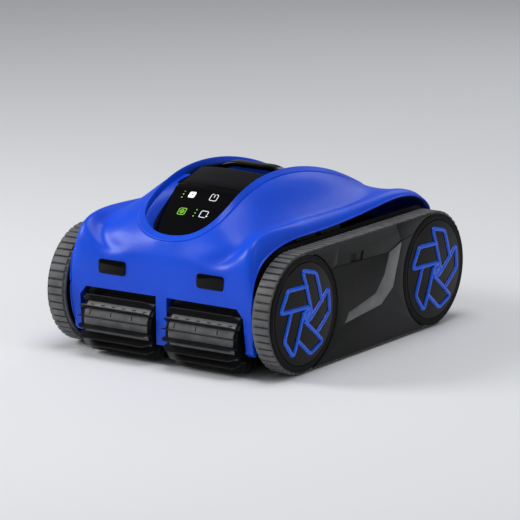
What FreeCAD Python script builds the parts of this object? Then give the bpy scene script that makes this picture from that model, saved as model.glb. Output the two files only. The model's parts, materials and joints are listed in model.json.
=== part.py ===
import FreeCAD, Part
import Sketcher
import math
import os
import re

# Cordless pool cleaner, millimetres. Front is -Y, up is +Z, the ground is Z = 0 and the
# machine is symmetric about X = 0. The origin is under the middle of the overall box.

doc = FreeCAD.newDocument("PoolCleaner")
vector = FreeCAD.Vector

# ---------------------------------------------------------------- driving sizes
sizes = {
    # track and wheels
    "wheel_base": 290, "tread_tip_radius": 73.3, "ridge_height": 2.9, "ridge_count": 110,
    "belt_thickness": 3, "belt_width": 24.6, "track_gap": 4, "rim_clearance": 0.3,
    "rim_thickness": 6, "flange_thickness": 2.2, "flange_drop": 3.2, "dome_drop": 8.1,
    "dome_height": 3.6, "trim_height": 1.2, "trim_rib_width": 4.2, "trim_hub_radius": 9.5,
    "trim_drawn_radius": 62, "trim_blades": 5, "axle_radius": 6, "running_clearance": 0.05,
    "panel_gap": 1.6, "panel_thickness": 2.2,
    # body
    "hull_half_width": 133, "hull_wall": 3, "ground_clearance": 16, "hull_rear_reach": 49.9,
    "side_height": 76.7, "shell_wall": 3, "opening_half_width": 56.5, "rim_bevel": 4.5, "deck_height": 79.7,
    # gears and roller brushes
    "tooth_module": 1.25, "shaft_gear_teeth": 32, "small_gear_teeth": 16, "motor_gear_teeth": 48,
    "gear_width": 4, "gear_backlash": 0.25, "train_slope": 36.87, "gear_case_width": 10,
    "brush_tip_radius": 41.5, "brush_core_radius": 28, "blade_count": 18, "blade_thickness": 2.2,
    "sleeve_thickness": 1.6, "brush_shaft_radius": 4, "centre_half_width": 7.3, "brush_gap": 2.4,
    "bay_gap": 3.4, "bush_wall": 2, "blade_bevel": 3, "blade_root_bite": 0.4, "blade_end_slope": 2,
    # filter, pump, lid and handle
    "basket_length": 120, "basket_half_width": 43, "basket_depth": 113, "basket_wall": 2,
    "pump_radius": 34, "pump_room": 64, "duct_wall": 2, "impeller_reach": 31, "impeller_blades": 5,
    "pump_height": 60, "motor_radius": 15, "motor_length": 45, "lid_wall": 3, "pin_radius": 2,
    "flange_lip": 4, "seal_height": 2, "intake_half_width": 36, "intake_length": 50,
    "seat_gap": 0.6, "barrel_half": 22, "barrel_wall": 2.6, "barrel_gap": 1,
    "handle_depth": 18, "handle_height": 11, "handle_pad_drop": 9,
    "impeller_hub_radius": 8, "impeller_root": 7, "vane_width": 9, "vane_thickness": 1.8,
    "vane_pitch_angle": 40, "can_wall": 4, "spider_half": 1.5, "spider_gap": 0.1,
    "grille_plate": 2.4, "grille_lip": 6, "grille_step": 9, "grille_bar_half": 3,
    # windows, panel and power
    "window_width": 39, "window_height": 17.5, "window_offset": 71.9, "window_rise": 38,
    "panel_plate": 3, "board_depth": 7, "board_thickness": 1.6, "board_inset": 16, "lamp_offset": 16,
    "lamp_size": 8, "lamp_thickness": 1, "lamp_tilt": 37.5,
    "battery_length": 116, "battery_half_width": 64, "battery_height": 52,
    "control_half_width": 58, "control_length": 66, "control_height": 42, "control_gap": 3,
    "port_offset": 36, "port_drop": 14, "port_radius": 9, "port_flange": 1.8,
    "screw_radius": 1.6, "screw_head": 1.8, "screw_length": 10, "screw_edge": 12, "screw_inset": 14,
}

# ---------------------------------------------------------------- places worked out from them
places = {
    "axle_z": "tread_tip_radius",
    "pump_z": "ground_clearance + pump_height",
    "train_length": "tooth_module * (shaft_gear_teeth/2 + 1.5*small_gear_teeth)",
    "brush_back": "train_length * cos(train_slope * 1deg)",
    "brush_drop": "train_length * sin(train_slope * 1deg)",
    "centre_shift": "(brush_back + brush_tip_radius - tread_tip_radius)/2",
    "front_y": "centre_shift - wheel_base/2",
    "rear_y": "centre_shift + wheel_base/2",
    "middle_y": "centre_shift",
    "brush_y": "front_y - brush_back",
    "brush_z": "axle_z - brush_drop",
    "idler_y": "front_y - (train_length - tooth_module*small_gear_teeth)*cos(train_slope * 1deg)",
    "idler_z": "axle_z - (train_length - tooth_module*small_gear_teeth)*sin(train_slope * 1deg)",
    "motor_y": "front_y + tooth_module*(motor_gear_teeth + small_gear_teeth)/2",
    "belt_in": "hull_half_width + track_gap",
    "belt_out": "belt_in + belt_width",
    "belt_base_radius": "tread_tip_radius - ridge_height",
    "belt_inner_radius": "belt_base_radius - belt_thickness",
    "rim_radius": "belt_inner_radius - rim_clearance",
    "flange_radius": "tread_tip_radius - flange_drop",
    "flange_in": "belt_out + rim_clearance",
    "flange_out": "flange_in + flange_thickness",
    "dome_radius": "flange_radius - dome_drop",
    "case_out": "hull_half_width - hull_wall",
    "case_in": "case_out - gear_case_width",
    "bay_side": "case_in - hull_wall + 0.5",
    "bay_back_y": "brush_y + brush_tip_radius + bay_gap",
    "bay_top_z": "brush_z + brush_tip_radius + bay_gap",
    "floor_top": "ground_clearance + hull_wall",
    "hull_rear_y": "rear_y + hull_rear_reach",
    "hull_inside_rear_y": "hull_rear_y - hull_wall",
    "deck_top": "axle_z + deck_height",
    "basket_rear_y": "hull_inside_rear_y - pump_room",
    "basket_front_y": "basket_rear_y - basket_length",
    "basket_top": "deck_top + basket_wall",
    "basket_bottom": "basket_top - basket_depth - basket_wall",
    "seal_top": "basket_top + seal_height",
    "lid_bottom": "seal_top + 0.3",
    "lid_front_y": "basket_front_y - 6",
    "lid_rear_y": "rear_y + 1",
    "hinge_y": "rear_y + 4",
    "hinge_z": "axle_z + 87",
    "lid_half_width": "opening_half_width - rim_bevel - 3.5",
    "ear_in": "barrel_half + barrel_gap",
    "ear_out": "lid_half_width - 8.5",
    "knuckle_in": "ear_out + barrel_gap",
    "knuckle_out": "lid_half_width - 1.5",
    "barrel_radius": "pin_radius + barrel_wall",
    "well_front_y": "front_y + 92",
    "well_rear_y": "lid_front_y - 2",
    "handle_y": "well_rear_y - handle_depth/2",
    "handle_z": "axle_z + 136.7",
    "intake_front_y": "basket_front_y + 28",
    "intake_rear_y": "intake_front_y + intake_length",
}


def fill_sheet():
    """The driving sizes go into a sheet as plain numbers with word aliases."""
    sheet = doc.addObject("Spreadsheet::Sheet", "Sizes")
    for row, (name, number) in enumerate(sizes.items(), start=1):
        sheet.set("A%d" % row, name)
        sheet.set("B%d" % row, str(number))
        sheet.setAlias("B%d" % row, name)
    doc.recompute()
    return sheet


sheet = fill_sheet()


def formula(rule):
    """A rule written with plain names, as an expression that points at the sheet."""
    def swap(found):
        word = found.group(0)
        if word in places:
            return "(" + formula(places[word]) + ")"
        if word in sizes:
            return "Sizes." + word
        return word
    return re.sub(r"[a-z_]{3,}", swap, str(rule))


def value(rule):
    """The number that a rule gives with the sheet as it stands."""
    answer = sheet.evalExpression(formula(rule))
    return float(getattr(answer, "Value", answer))


def minus(rule):
    return "-(%s)" % rule


def across(side, inner, outer):
    """A stretch of X from inner to outer on the right (side 1) or the left (side -1)."""
    return (inner, outer) if side > 0 else (minus(outer), minus(inner))


def bind(thing, settings):
    for name, rule in settings.items():
        thing.setExpression(name, formula(rule))
    return thing


made = []


def piece(thing, label):
    """Marks an object of the document as a finished piece of the machine."""
    thing.Label = label
    made.append(thing)
    return thing


# ---------------------------------------------------------------- building blocks
def box(x, y, z):
    thing = doc.addObject("Part::Box", "block")
    return bind(thing, {
        "Length": "(%s) - (%s)" % (x[1], x[0]), "Width": "(%s) - (%s)" % (y[1], y[0]),
        "Height": "(%s) - (%s)" % (z[1], z[0]), "Placement.Base.x": x[0],
        "Placement.Base.y": y[0], "Placement.Base.z": z[0]})


turns = {
    "x": FreeCAD.Rotation(vector(0, 1, 0), 90),
    "y": FreeCAD.Rotation(vector(1, 0, 0), -90),
    "z": FreeCAD.Rotation(),
}


def rod(axis, along, centre, radius):
    """A cylinder along an axis, between two places, with its centre line at the other two."""
    thing = doc.addObject("Part::Cylinder", "rod")
    thing.Placement = FreeCAD.Placement(vector(), turns[axis])
    base = list(centre)
    base.insert("xyz".index(axis), along[0])
    return bind(thing, {
        "Radius": radius, "Height": "(%s) - (%s)" % (along[1], along[0]),
        "Placement.Base.x": base[0], "Placement.Base.y": base[1], "Placement.Base.z": base[2]})


def join(*shapes):
    thing = doc.addObject("Part::MultiFuse", "join")
    thing.Shapes = list(shapes)
    thing.Refine = True
    return thing


def cut(base, *tools):
    thing = doc.addObject("Part::Cut", "cut")
    thing.Base = base
    thing.Tool = tools[0] if len(tools) == 1 else join(*tools)
    return thing


def origin_plane(body, role):
    return [plane for plane in body.Origin.OriginFeatures if plane.Role == role][0]


def outline_sketch(body, role, outline):
    """A closed outline of straight lines whose corners are bound to the sheet."""
    sketch = body.newObject("Sketcher::SketchObject", "outline")
    sketch.AttachmentSupport = [(origin_plane(body, role), "")]
    sketch.MapMode = "FlatFace"
    corners = [vector(value(first), value(second), 0) for first, second in outline]
    count = len(corners)
    for index in range(count):
        line = Part.LineSegment(corners[index], corners[(index + 1) % count])
        sketch.addGeometry(line, False)
    for index in range(count):
        sketch.addConstraint(Sketcher.Constraint("Coincident", index, 2, (index + 1) % count, 1))
        for kind, rule, number in (("DistanceX", outline[index][0], corners[index].x),
                                   ("DistanceY", outline[index][1], corners[index].y)):
            place = sketch.addConstraint(Sketcher.Constraint(kind, -1, 1, index, 1, number))
            sketch.setExpression("Constraints[%d]" % place, formula(rule))
    return sketch


def plate(x, outline):
    """A padded side outline of (y, z) corners between two places on X."""
    body = doc.addObject("PartDesign::Body", "plate")
    sketch = outline_sketch(body, "YZ_Plane", outline)
    pad = body.newObject("PartDesign::Pad", "pad")
    pad.Profile = sketch
    pad.setExpression("Length", formula("(%s) - (%s)" % (x[1], x[0])))
    body.setExpression("Placement.Base.x", formula(x[0]))
    return body


def turned(outline, y, z):
    """A piece turned about a line along X, from its (x, radius) outline."""
    body = doc.addObject("PartDesign::Body", "turned")
    sketch = outline_sketch(body, "XY_Plane", outline)
    spin = body.newObject("PartDesign::Revolution", "spin")
    spin.Profile = sketch
    spin.ReferenceAxis = (sketch, ["H_Axis"])
    spin.Angle = 360
    return bind(body, {"Placement.Base.y": y, "Placement.Base.z": z})


def rounded(base, edges, radius):
    """Fillets the edges of a block that run along one axis."""
    doc.recompute()
    thing = doc.addObject("Part::Fillet", "rounded")
    thing.Base = base
    chosen = []
    for number, edge in enumerate(base.Shape.Edges, start=1):
        run = edge.Vertexes[1].Point - edge.Vertexes[0].Point if len(edge.Vertexes) > 1 else vector()
        if run.Length > 0 and abs(abs(getattr(run, edges)) - run.Length) < 1e-6:
            chosen.append((number, value(radius), value(radius)))
    thing.Edges = chosen
    return thing


def shaped(shape):
    """A shape made with formulas, for outlines that no sketch or primitive gives."""
    thing = doc.addObject("Part::Feature", "shaped")
    thing.Shape = shape
    return thing


def point(x, y, z):
    return vector(value(x), value(y), value(z))


both = (("right", 1), ("left", -1))
wheels = (("front", "front_y"), ("rear", "rear_y"))
full = 2 * math.pi


# ---------------------------------------------------------------- gears
def gear(teeth_name, x, centre, phase):
    """A spur gear with straight flanks that stay just inside the involute of 20 degrees."""
    teeth = int(value(teeth_name))
    module = value("tooth_module")
    pitch = module * teeth / 2
    base = pitch * math.cos(math.radians(20))
    tip = pitch + 0.8 * module
    root = pitch - 1.2 * module
    half_pitch = math.pi / (2 * teeth) - value("gear_backlash") / (2 * pitch)
    lean = math.tan(math.radians(20)) - math.radians(20)

    def half_angle(radius):
        pressure = math.acos(min(1.0, base / max(radius, base)))
        return half_pitch + lean - (math.tan(pressure) - pressure)

    flank = [(radius, half_angle(radius)) for radius in (root, max(base, root + 0.05), pitch, tip)]
    corners = []
    for tooth in range(teeth):
        middle = phase + full * tooth / teeth
        for radius, half in flank:
            corners.append((radius, middle - half))
        for radius, half in reversed(flank):
            corners.append((radius, middle + half))
    y, z = value(centre[0]), value(centre[1])
    start = value(x[0])
    points = [vector(start, y + radius * math.cos(angle), z + radius * math.sin(angle))
              for radius, angle in corners]
    face = Part.Face(Part.makePolygon(points + points[:1]))
    return shaped(face.extrude(vector(value(x[1]) - start, 0, 0)))


slope_back = math.pi + math.radians(sizes["train_slope"])
small_step = math.pi / sizes["small_gear_teeth"]


def drive_side(name, side):
    """Motor, pinion, drive shaft with its two gears, and idler of one side."""
    brush_plane = across(side, "case_in + 1", "case_in + 1 + gear_width")
    motor_plane = across(side, "case_in + 1.5 + gear_width", "case_in + 1.5 + 2*gear_width")
    wheel_axis = ("front_y", "axle_z")
    shaft = rod("x", across(side, "case_in - hull_wall + 1", "flange_in - 0.2"), wheel_axis, "axle_radius")
    slow = gear("motor_gear_teeth", motor_plane, wheel_axis, 0)
    middle = gear("shaft_gear_teeth", brush_plane, wheel_axis, slope_back)
    piece(join(shaft, slow, middle), "drive_shaft_" + name)

    pin_hole = rod("x", across(side, "case_in", "case_out"), ("idler_y", "idler_z"),
                   "pin_radius + running_clearance")
    wheel = gear("small_gear_teeth", brush_plane, ("idler_y", "idler_z"), slope_back + math.pi + small_step)
    piece(cut(wheel, pin_hole), "idler_gear_" + name)

    motor_axis = ("motor_y", "axle_z")
    pinion = gear("small_gear_teeth", motor_plane, motor_axis, math.pi + small_step)
    spindle = rod("x", across(side, "bay_side + 0.3", "case_out - 0.6"), motor_axis, "pin_radius")
    piece(join(pinion, spindle), "motor_pinion_" + name)
    can = rod("x", across(side, "bay_side - motor_length", "bay_side"), motor_axis, "motor_radius")
    tail = rod("x", across(side, "bay_side - motor_length - 4", "bay_side - motor_length"),
               motor_axis, "motor_radius/2")
    piece(join(can, tail), "drive_motor_" + name)


# ---------------------------------------------------------------- roller brushes
def roller_brush(name, side):
    """Hard core on its shaft with the end gear, and the soft bladed sleeve round it."""
    axis = ("brush_y", "brush_z")
    length = across(side, "centre_half_width + brush_gap + 1.3", "bay_side - brush_gap - 1")
    core = rod("x", length, axis, "brush_core_radius - running_clearance")
    bore = rod("x", across(side, "centre_half_width + brush_gap + 4", "bay_side - brush_gap - 4"), axis,
               "brush_core_radius - 4")
    shaft = rod("x", across(side, "2", "case_in + 1.2 + gear_width"), axis, "brush_shaft_radius")
    wheel = gear("small_gear_teeth", across(side, "case_in + 1", "case_in + 1 + gear_width"), axis,
                 slope_back + math.pi)
    piece(join(cut(core, bore), shaft, wheel), "brush_core_" + name)

    sleeve_radius = "brush_core_radius + sleeve_thickness"
    sleeve = cut(rod("x", length, axis, sleeve_radius), rod("x", length, axis, "brush_core_radius"))
    blades = []
    count = int(value("blade_count"))
    ends = across(side, "centre_half_width + brush_gap", "bay_side - brush_gap")
    start, end = value(ends[0]), value(ends[1])
    centre = point("0", *axis)
    bevel, slant = value("blade_bevel"), value("blade_end_slope")
    root, tip = value(sleeve_radius) - value("blade_root_bite"), value("brush_tip_radius")
    half = value("blade_thickness") / 2
    for index in range(count):
        blade = Part.Face(Part.makePolygon([
            vector(start + slant, root, -half), vector(start, tip - bevel, -half),
            vector(start + bevel, tip, -half), vector(end - bevel, tip, -half),
            vector(end, tip - bevel, -half), vector(end - slant, root, -half),
            vector(start + slant, root, -half)])).extrude(vector(0, 0, 2 * half))
        blade.rotate(vector(), vector(1, 0, 0), 360 * index / count)
        blade.translate(centre)
        blades.append(shaped(blade))
    piece(join(sleeve, *blades), "brush_blades_" + name)


# ---------------------------------------------------------------- wheels, caps and trims
def wheel(place, centre_y, name, side):
    """Drum that the belt runs on, with the outer flange that hides the belt's edge."""
    bore = "axle_radius" if place == "front" else "axle_radius + running_clearance"

    def out(rule):
        return rule if side > 0 else minus(rule)

    outline = [
        (out("belt_in + 0.5"), "rim_radius - rim_thickness"), (out("belt_in + 0.5"), "rim_radius"),
        (out("flange_in"), "rim_radius"), (out("flange_in"), "flange_radius"),
        (out("flange_out"), "flange_radius"), (out("flange_out"), "dome_radius + 0.1"),
        (out("flange_in"), "dome_radius + 0.1"), (out("flange_in"), bore),
        (out("belt_in + 8"), bore), (out("belt_in + 8"), "axle_radius + 9"),
        (out("flange_in - 4"), "axle_radius + 11"), (out("flange_in - 4"), "rim_radius - rim_thickness"),
    ]
    piece(turned(outline, centre_y, "axle_z"), "%s_wheel_%s" % (place, name))


def dome(side, centre_y, radius, height, extra):
    """A shallow ball cap on the flange's face: rim radius, height and how much thicker."""
    rim, rise = value(radius), value(height)
    ball = (rim * rim + rise * rise) / (2 * rise)
    start = value("flange_in")
    middle = vector(side * (value("flange_out") + rise - ball), value(centre_y), value("axle_z"))
    sphere = Part.makeSphere(ball + extra, middle)
    stretch = value("flange_thickness") + rise + extra + 1
    drum = Part.makeCylinder(rim, stretch, vector(side * start, middle.y, middle.z), vector(side, 0, 0))
    return sphere.common(drum)


def hub_cap(place, centre_y, name, side):
    """Glossy domed cap, and the raised five-blade trim that is bonded on it."""
    cap = dome(side, centre_y, "dome_radius", "dome_height", 0)
    piece(shaped(cap), "%s_hub_cap_%s" % (place, name))

    outer = dome(side, centre_y, "dome_radius", "dome_height", value("trim_height"))
    middle = point("0", centre_y, "axle_z")
    start = value("flange_out") - 1
    reach = value("dome_height") + value("trim_height") + 3
    half = value("trim_rib_width") / 2
    scale = value("dome_radius") / value("trim_drawn_radius")
    ribs = [Part.makeCylinder(value("trim_hub_radius"), reach, vector(side * start, middle.y, middle.z),
                              vector(side, 0, 0))]
    corners = [(10.6, 1.1), (-6.7, 52.8), (21.1, 45.6), (32.2, 10.0)]
    count = int(value("trim_blades"))
    for blade in range(count):
        angle = full * blade / count
        turned_corners = [vector(0, scale * (y * math.cos(angle) - z * math.sin(angle)),
                                 scale * (y * math.sin(angle) + z * math.cos(angle))) for y, z in corners]
        for first, second in zip(turned_corners[:-1], turned_corners[1:]):
            along = (second - first).normalize()
            wide = vector(1, 0, 0).cross(along) * half
            foot = [first - wide - along * half, second - wide + along * half,
                    second + wide + along * half, first + wide - along * half]
            rib = Part.Face(Part.makePolygon(foot + foot[:1])).extrude(vector(side * reach, 0, 0))
            rib.translate(middle + vector(side * start, 0, 0))
            ribs.append(rib)
    network = ribs[0].fuse(ribs[1:]).common(outer).cut(cap)
    piece(shaped(network.removeSplitter()), "%s_fan_trim_%s" % (place, name))


# ---------------------------------------------------------------- track belts
def track_belt(name, side):
    """One ridged rubber loop round both wheels, with a land and a groove for each ridge."""
    base, depth = value("belt_base_radius"), value("ridge_height")
    reach = value("wheel_base")
    middle, height = value("middle_y"), value("axle_z")
    loop = 2 * reach + full * base
    pitch = loop / int(value("ridge_count"))
    turn = math.pi * base

    def on_loop(run, lift):
        """The place on the loop at a run along its base line, lifted by some height."""
        run = run % loop
        if run < reach:
            return middle - reach / 2 + run, height + base + lift
        if run < reach + turn:
            angle = math.pi / 2 - (run - reach) / base
            return (middle + reach / 2 + (base + lift) * math.cos(angle),
                    height + (base + lift) * math.sin(angle))
        if run < 2 * reach + turn:
            return middle + reach / 2 - (run - reach - turn), height - base - lift
        angle = -math.pi / 2 - (run - 2 * reach - turn) / base
        return (middle - reach / 2 + (base + lift) * math.cos(angle),
                height + (base + lift) * math.sin(angle))

    corners = []
    for ridge in range(int(value("ridge_count"))):
        start = (ridge + 0.5) * pitch + reach / 2
        for part, lift in ((-0.34, 0), (-0.27, depth), (0, depth), (0.27, depth), (0.34, 0)):
            corners.append(on_loop(start + part * pitch, lift))
    inner = value("belt_inner_radius")
    x0, x1 = [value(rule) for rule in across(side, "belt_in", "belt_out")]
    outline = Part.makePolygon([vector(x0, y, z) for y, z in corners + corners[:1]])
    solid = Part.Face(outline).extrude(vector(x1 - x0, 0, 0))
    drums = [Part.makeCylinder(inner, x1 - x0, vector(x0, middle + end * reach / 2, height), vector(1, 0, 0))
             for end in (-1, 1)]
    drums.append(Part.makeBox(x1 - x0, reach, 2 * inner, vector(x0, middle - reach / 2, height - inner)))
    hollow = drums[0].fuse(drums[1:]).removeSplitter()
    piece(shaped(solid.cut(hollow)), "track_belt_" + name)


# ---------------------------------------------------------------- side panels
def side_cover(name, side):
    """The dark panel between the wheels, its grey inlay, and the foam block behind it."""
    x = across(side, "flange_out - panel_thickness", "flange_out")
    low = "ridge_height + 1"
    high = "2*axle_z - ridge_height + 1.2"
    board = box(x, ("front_y", "rear_y"), (low, high))
    gaps = [rod("x", x, (centre, "axle_z"), "flange_radius + panel_gap") for _, centre in wheels]
    corners = [(41.2, 40.6), (70.6, 49.4), (62, 24.6), (51, -5), (25, -21.2), (-57.4, -29.2),
               (-48.5, -16.8), (10.3, -5), (31, 15.6)]
    shape = [("middle_y + %s" % y, "axle_z + %s" % z) for y, z in corners]
    inlay_x = across(side, "flange_out - 0.9", "flange_out")
    recess = box(across(side, "flange_out - 1.2", "flange_out"), ("middle_y - 44", "middle_y - 16"),
                 ("axle_z + 42.6", "axle_z + 53"))
    piece(cut(board, *gaps, plate(inlay_x, shape), recess), "side_panel_" + name)
    piece(plate(inlay_x, shape), "side_inlay_" + name)

    block_y = ("front_y + belt_inner_radius + 8", "rear_y - belt_inner_radius - 8")
    block = box(across(side, "hull_half_width", "flange_out - panel_thickness"), block_y,
                ("axle_z - belt_inner_radius + 3", "axle_z + belt_inner_radius - 3"))
    piece(rounded(block, "x", "6"), "float_block_" + name)


# ---------------------------------------------------------------- hull
def front_wall(side):
    """The inner wall that closes the brush bay and carries the gear train."""
    return box(across(side, "bay_side", "case_in"), ("brush_y - 10.5", "motor_y + motor_radius + 4"),
               ("ground_clearance + 8", "axle_z + 40"))


def lower_hull():
    """Black tub that carries everything: floor, sides, bay walls, gear cases and rear wall."""
    inside = (minus("case_out"), "case_out")
    solids = [
        box(inside, ("bay_back_y", "hull_rear_y"), ("ground_clearance", "floor_top")),
        box(inside, ("hull_inside_rear_y", "hull_rear_y"), ("ground_clearance", "axle_z + 45")),
        box((minus("bay_side"), "bay_side"), ("bay_back_y", "bay_back_y + hull_wall"),
            ("ground_clearance", "axle_z + 62")),
        box((minus("bay_side"), "bay_side"), ("brush_y - 8", "bay_back_y"),
            ("bay_top_z", "bay_top_z + hull_wall")),
        box((minus("centre_half_width"), "centre_half_width"), ("brush_y - 8", "bay_back_y"),
            ("ground_clearance + 8", "bay_top_z")),
    ]
    outline = [
        ("front_y - 50", "axle_z - 38"), ("front_y - 54", "axle_z + 26"),
        ("front_y - 34", "axle_z + 64"), ("front_y - 4", "axle_z + side_height"),
        ("rear_y + 10", "axle_z + side_height"), ("rear_y + 40", "axle_z + 61"),
        ("hull_rear_y", "axle_z + 36"), ("hull_rear_y", "ground_clearance"),
        ("bay_back_y", "ground_clearance"), ("brush_y", "ground_clearance + 8"),
    ]
    holes = []
    for _, side in both:
        solids.append(plate(across(side, "case_out", "hull_half_width"), outline))
        solids.append(front_wall(side))
        solids.append(rod("x", across(side, "case_in - 0.5", "case_in + 1.2 + gear_width"),
                          ("idler_y", "idler_z"), "pin_radius"))
        wide = across(side, "bay_side - 1", "hull_half_width + 1")
        holes.append(rod("x", across(side, "case_out - 1", "hull_half_width + 1"), ("front_y", "axle_z"),
                         "axle_radius + running_clearance + bush_wall"))
        holes.append(rod("x", across(side, "bay_side - 1", "case_in + 1"), ("front_y", "axle_z"),
                         "axle_radius + running_clearance"))
        holes.append(rod("x", wide, ("rear_y", "axle_z"), "axle_radius"))
        holes.append(rod("x", across(side, "bay_side - 1", "case_in + 1"), ("motor_y", "axle_z"),
                         "pin_radius + 1"))
        holes.append(rod("x", across(side, "bay_side - 1", "case_in + 1"), ("brush_y", "brush_z"),
                         "brush_shaft_radius + running_clearance + bush_wall"))
    holes.append(rod("x", (minus("centre_half_width + 1"), "centre_half_width + 1"),
                     ("brush_y", "brush_z"), "brush_shaft_radius + running_clearance + bush_wall"))
    holes.append(box((minus("intake_half_width"), "intake_half_width"),
                     ("intake_front_y", "intake_rear_y"), ("ground_clearance - 1", "floor_top + 1")))
    holes.append(rod("y", ("hull_inside_rear_y - 1", "hull_rear_y + 1"), ("0", "pump_z"),
                     "pump_radius + duct_wall"))
    holes += [rod("z", ("ground_clearance - 1", "floor_top + 1"), spot, "screw_radius")
              for spot in screw_spots()]
    piece(cut(join(*solids), *holes), "lower_hull")


def screw_spots():
    rows = ("bay_back_y + screw_inset", "middle_y - 20", "middle_y + 100", "hull_rear_y - screw_inset")
    return [("%s * (case_in - screw_edge)" % side, row) for row in rows for side in (-1, 1)]


def hull_screws():
    """Eight equal screws that close the floor of the hull, as one group of separate solids."""
    shapes = []
    for x, y in screw_spots():
        foot = point(x, y, "ground_clearance - screw_head")
        head = Part.makeCylinder(value("2 * screw_radius"), value("screw_head"), foot)
        shank = Part.makeCylinder(value("screw_radius"), value("screw_length"), foot)
        shapes.append(head.fuse(shank).removeSplitter())
    piece(shaped(Part.makeCompound(shapes)), "hull_screws")


def bushes():
    """Four equal bearing bushes for the brush shafts, and two larger ones for the drive shafts."""
    def ring(x, centre, radius):
        start, end = value(x[0]), value(x[1])
        foot = point("0", *centre) + vector(start, 0, 0)
        outer = Part.makeCylinder(value(radius + " + bush_wall"), end - start, foot, vector(1, 0, 0))
        return outer.cut(Part.makeCylinder(value(radius), end - start, foot, vector(1, 0, 0)))

    small, large = [], []
    for _, side in both:
        brush_axis = ("brush_y", "brush_z")
        inner = across(side, "centre_half_width - 5", "centre_half_width")
        small.append(ring(inner, brush_axis, "brush_shaft_radius + running_clearance"))
        small.append(ring(across(side, "bay_side", "case_in"), brush_axis,
                          "brush_shaft_radius + running_clearance"))
        large.append(ring(across(side, "case_out", "belt_in"), ("front_y", "axle_z"),
                          "axle_radius + running_clearance"))
    piece(shaped(Part.makeCompound(small)), "brush_bushes")
    piece(shaped(Part.makeCompound(large)), "shaft_bushes")


def rear_axle(name, side):
    """Fixed stub axle of a rear wheel, with a collar on the inside of the hull wall."""
    axis = ("rear_y", "axle_z")
    pin = rod("x", across(side, "case_out - 6", "flange_in - 0.2"), axis, "axle_radius")
    collar = rod("x", across(side, "case_out - 6", "case_out"), axis, "axle_radius + 5")
    piece(join(pin, collar), "rear_axle_" + name)


# ---------------------------------------------------------------- blue shell
def band(curve, thickness):
    """A closed strip under a side curve of (y, z) corners, on the side of the machine's middle."""
    inner = []
    for index, (y, z) in enumerate(curve):
        before = curve[max(index - 1, 0)]
        after = curve[min(index + 1, len(curve) - 1)]
        run = vector(after[0] - before[0], after[1] - before[1], 0).normalize()
        inner.append((y + run.y * thickness, z - run.x * thickness))
    return curve + inner[::-1]


def shell_curves():
    """Side curves of the shell at five places on X: the front corners hang from the front
    axle, the rear ones from the rear axle, and the rest lie between."""
    front, rear, top = value("front_y"), value("rear_y"), value("axle_z")

    def curve(front_part, rear_part):
        return ([(front + y, top + z) for y, z in front_part]
                + [(rear + y, top + z) for y, z in rear_part])

    rim = curve([(-61, 13), (-61.5, 56), (-47, 80), (-26, 111), (5, 127), (35, 138.5), (95, 145)],
                [(-135, 140.5), (-75, 128.5), (-26, 110), (11, 92), (41, 72), (55, 45)])
    valley = curve([(-62, 12), (-61, 54), (-45, 69), (-25, 77), (5, 83), (35, 87), (95, 91)],
                   [(-135, 94), (-75, 97), (-26, 97), (11, 90), (41, 72), (55, 45)])
    crest = curve([(-64, 7), (-65, 47), (-60, 86), (-43, 99), (-11, 99.3), (15, 97.7), (61, 95)],
                  [(-159, 94.7), (-75, 99.7), (-36, 102.7), (1, 100.7), (29, 90.7), (50, 66)])
    edge = curve([(-65, 8), (-64, 37), (-55, 54), (-36.6, 69.5), (-3, 81), (31, 83.6), (95, 83)],
                 [(-135, 86.7), (-67, 92.7), (-36, 95), (1, 92.3), (27, 82.7), (46, 65.7)])
    return [("opening_half_width + 1.5", rim), ("hull_half_width - 35", valley),
            ("hull_half_width - 11", crest), ("hull_half_width - 0.5", edge)]


def shell_column(side):
    """The shell's leg beside a brush, down to its rounded foot."""
    outline = [("front_y - 64", "axle_z + 24"), ("front_y - 65", "axle_z - 13"),
               ("front_y - 61", "axle_z - 40"), ("front_y - 55", "axle_z - 48.5"),
               ("front_y - 51", "axle_z - 44"), ("front_y - 55", "axle_z - 13"),
               ("front_y - 58", "axle_z + 24")]
    return plate(across(side, "case_in - 0.4", "hull_half_width - 0.5"), outline)


def top_shell():
    """Blue cover: hood with the long opening, two fenders, front face and front legs."""
    curves = shell_curves()
    sections = [(-value(x), curve) for x, curve in reversed(curves)]
    sections += [(value(x), curve) for x, curve in curves]
    wires = []
    for x, curve in sections:
        strip = [vector(x, y, z) for y, z in band(curve, value("shell_wall"))]
        wires.append(Part.makePolygon(strip + strip[:1]))
    skin = shaped(Part.makeLoft(wires, True, True))
    centre_leg = [("front_y - 60", "axle_z + 24"), ("front_y - 60", "axle_z - 42"),
                  ("front_y - 52", "axle_z - 46"), ("front_y - 49", "axle_z - 46"),
                  ("front_y - 49", "bay_top_z - 2"), ("front_y - 57", "axle_z + 24")]
    legs = [plate((minus("centre_half_width + 0.5"), "centre_half_width + 0.5"), centre_leg)]
    legs += [shell_column(side) for _, side in both]

    front, rear, half = value("front_y - 44"), value("rear_y + 14"), value("opening_half_width")
    nose = half * 0.62
    low, high = value("axle_z + 40"), value("axle_z + 170")
    corners = [vector(-half, rear, low), vector(half, rear, low), vector(half, front + nose, low)]
    bow = Part.Arc(corners[2], vector(0, front, low), vector(-half, front + nose, low))
    sides = [Part.makeLine(corners[0], corners[1]), Part.makeLine(corners[1], corners[2]),
             bow.toShape(), Part.makeLine(vector(-half, front + nose, low), corners[0])]
    opening = shaped(Part.Face(Part.Wire(sides)).extrude(vector(0, 0, high - low)))
    windows = [window_block(side) for _, side in both]
    piece(cut(join(skin, *legs), opening, *windows), "top_shell")


def window_block(side):
    middle = "%s * window_offset" % side
    block = box(("%s - window_width/2" % middle, "%s + window_width/2" % middle),
                ("front_y - 63.5", "front_y - 57"),
                ("axle_z + window_rise - window_height/2", "axle_z + window_rise + window_height/2"))
    return rounded(block, "y", "4")


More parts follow.
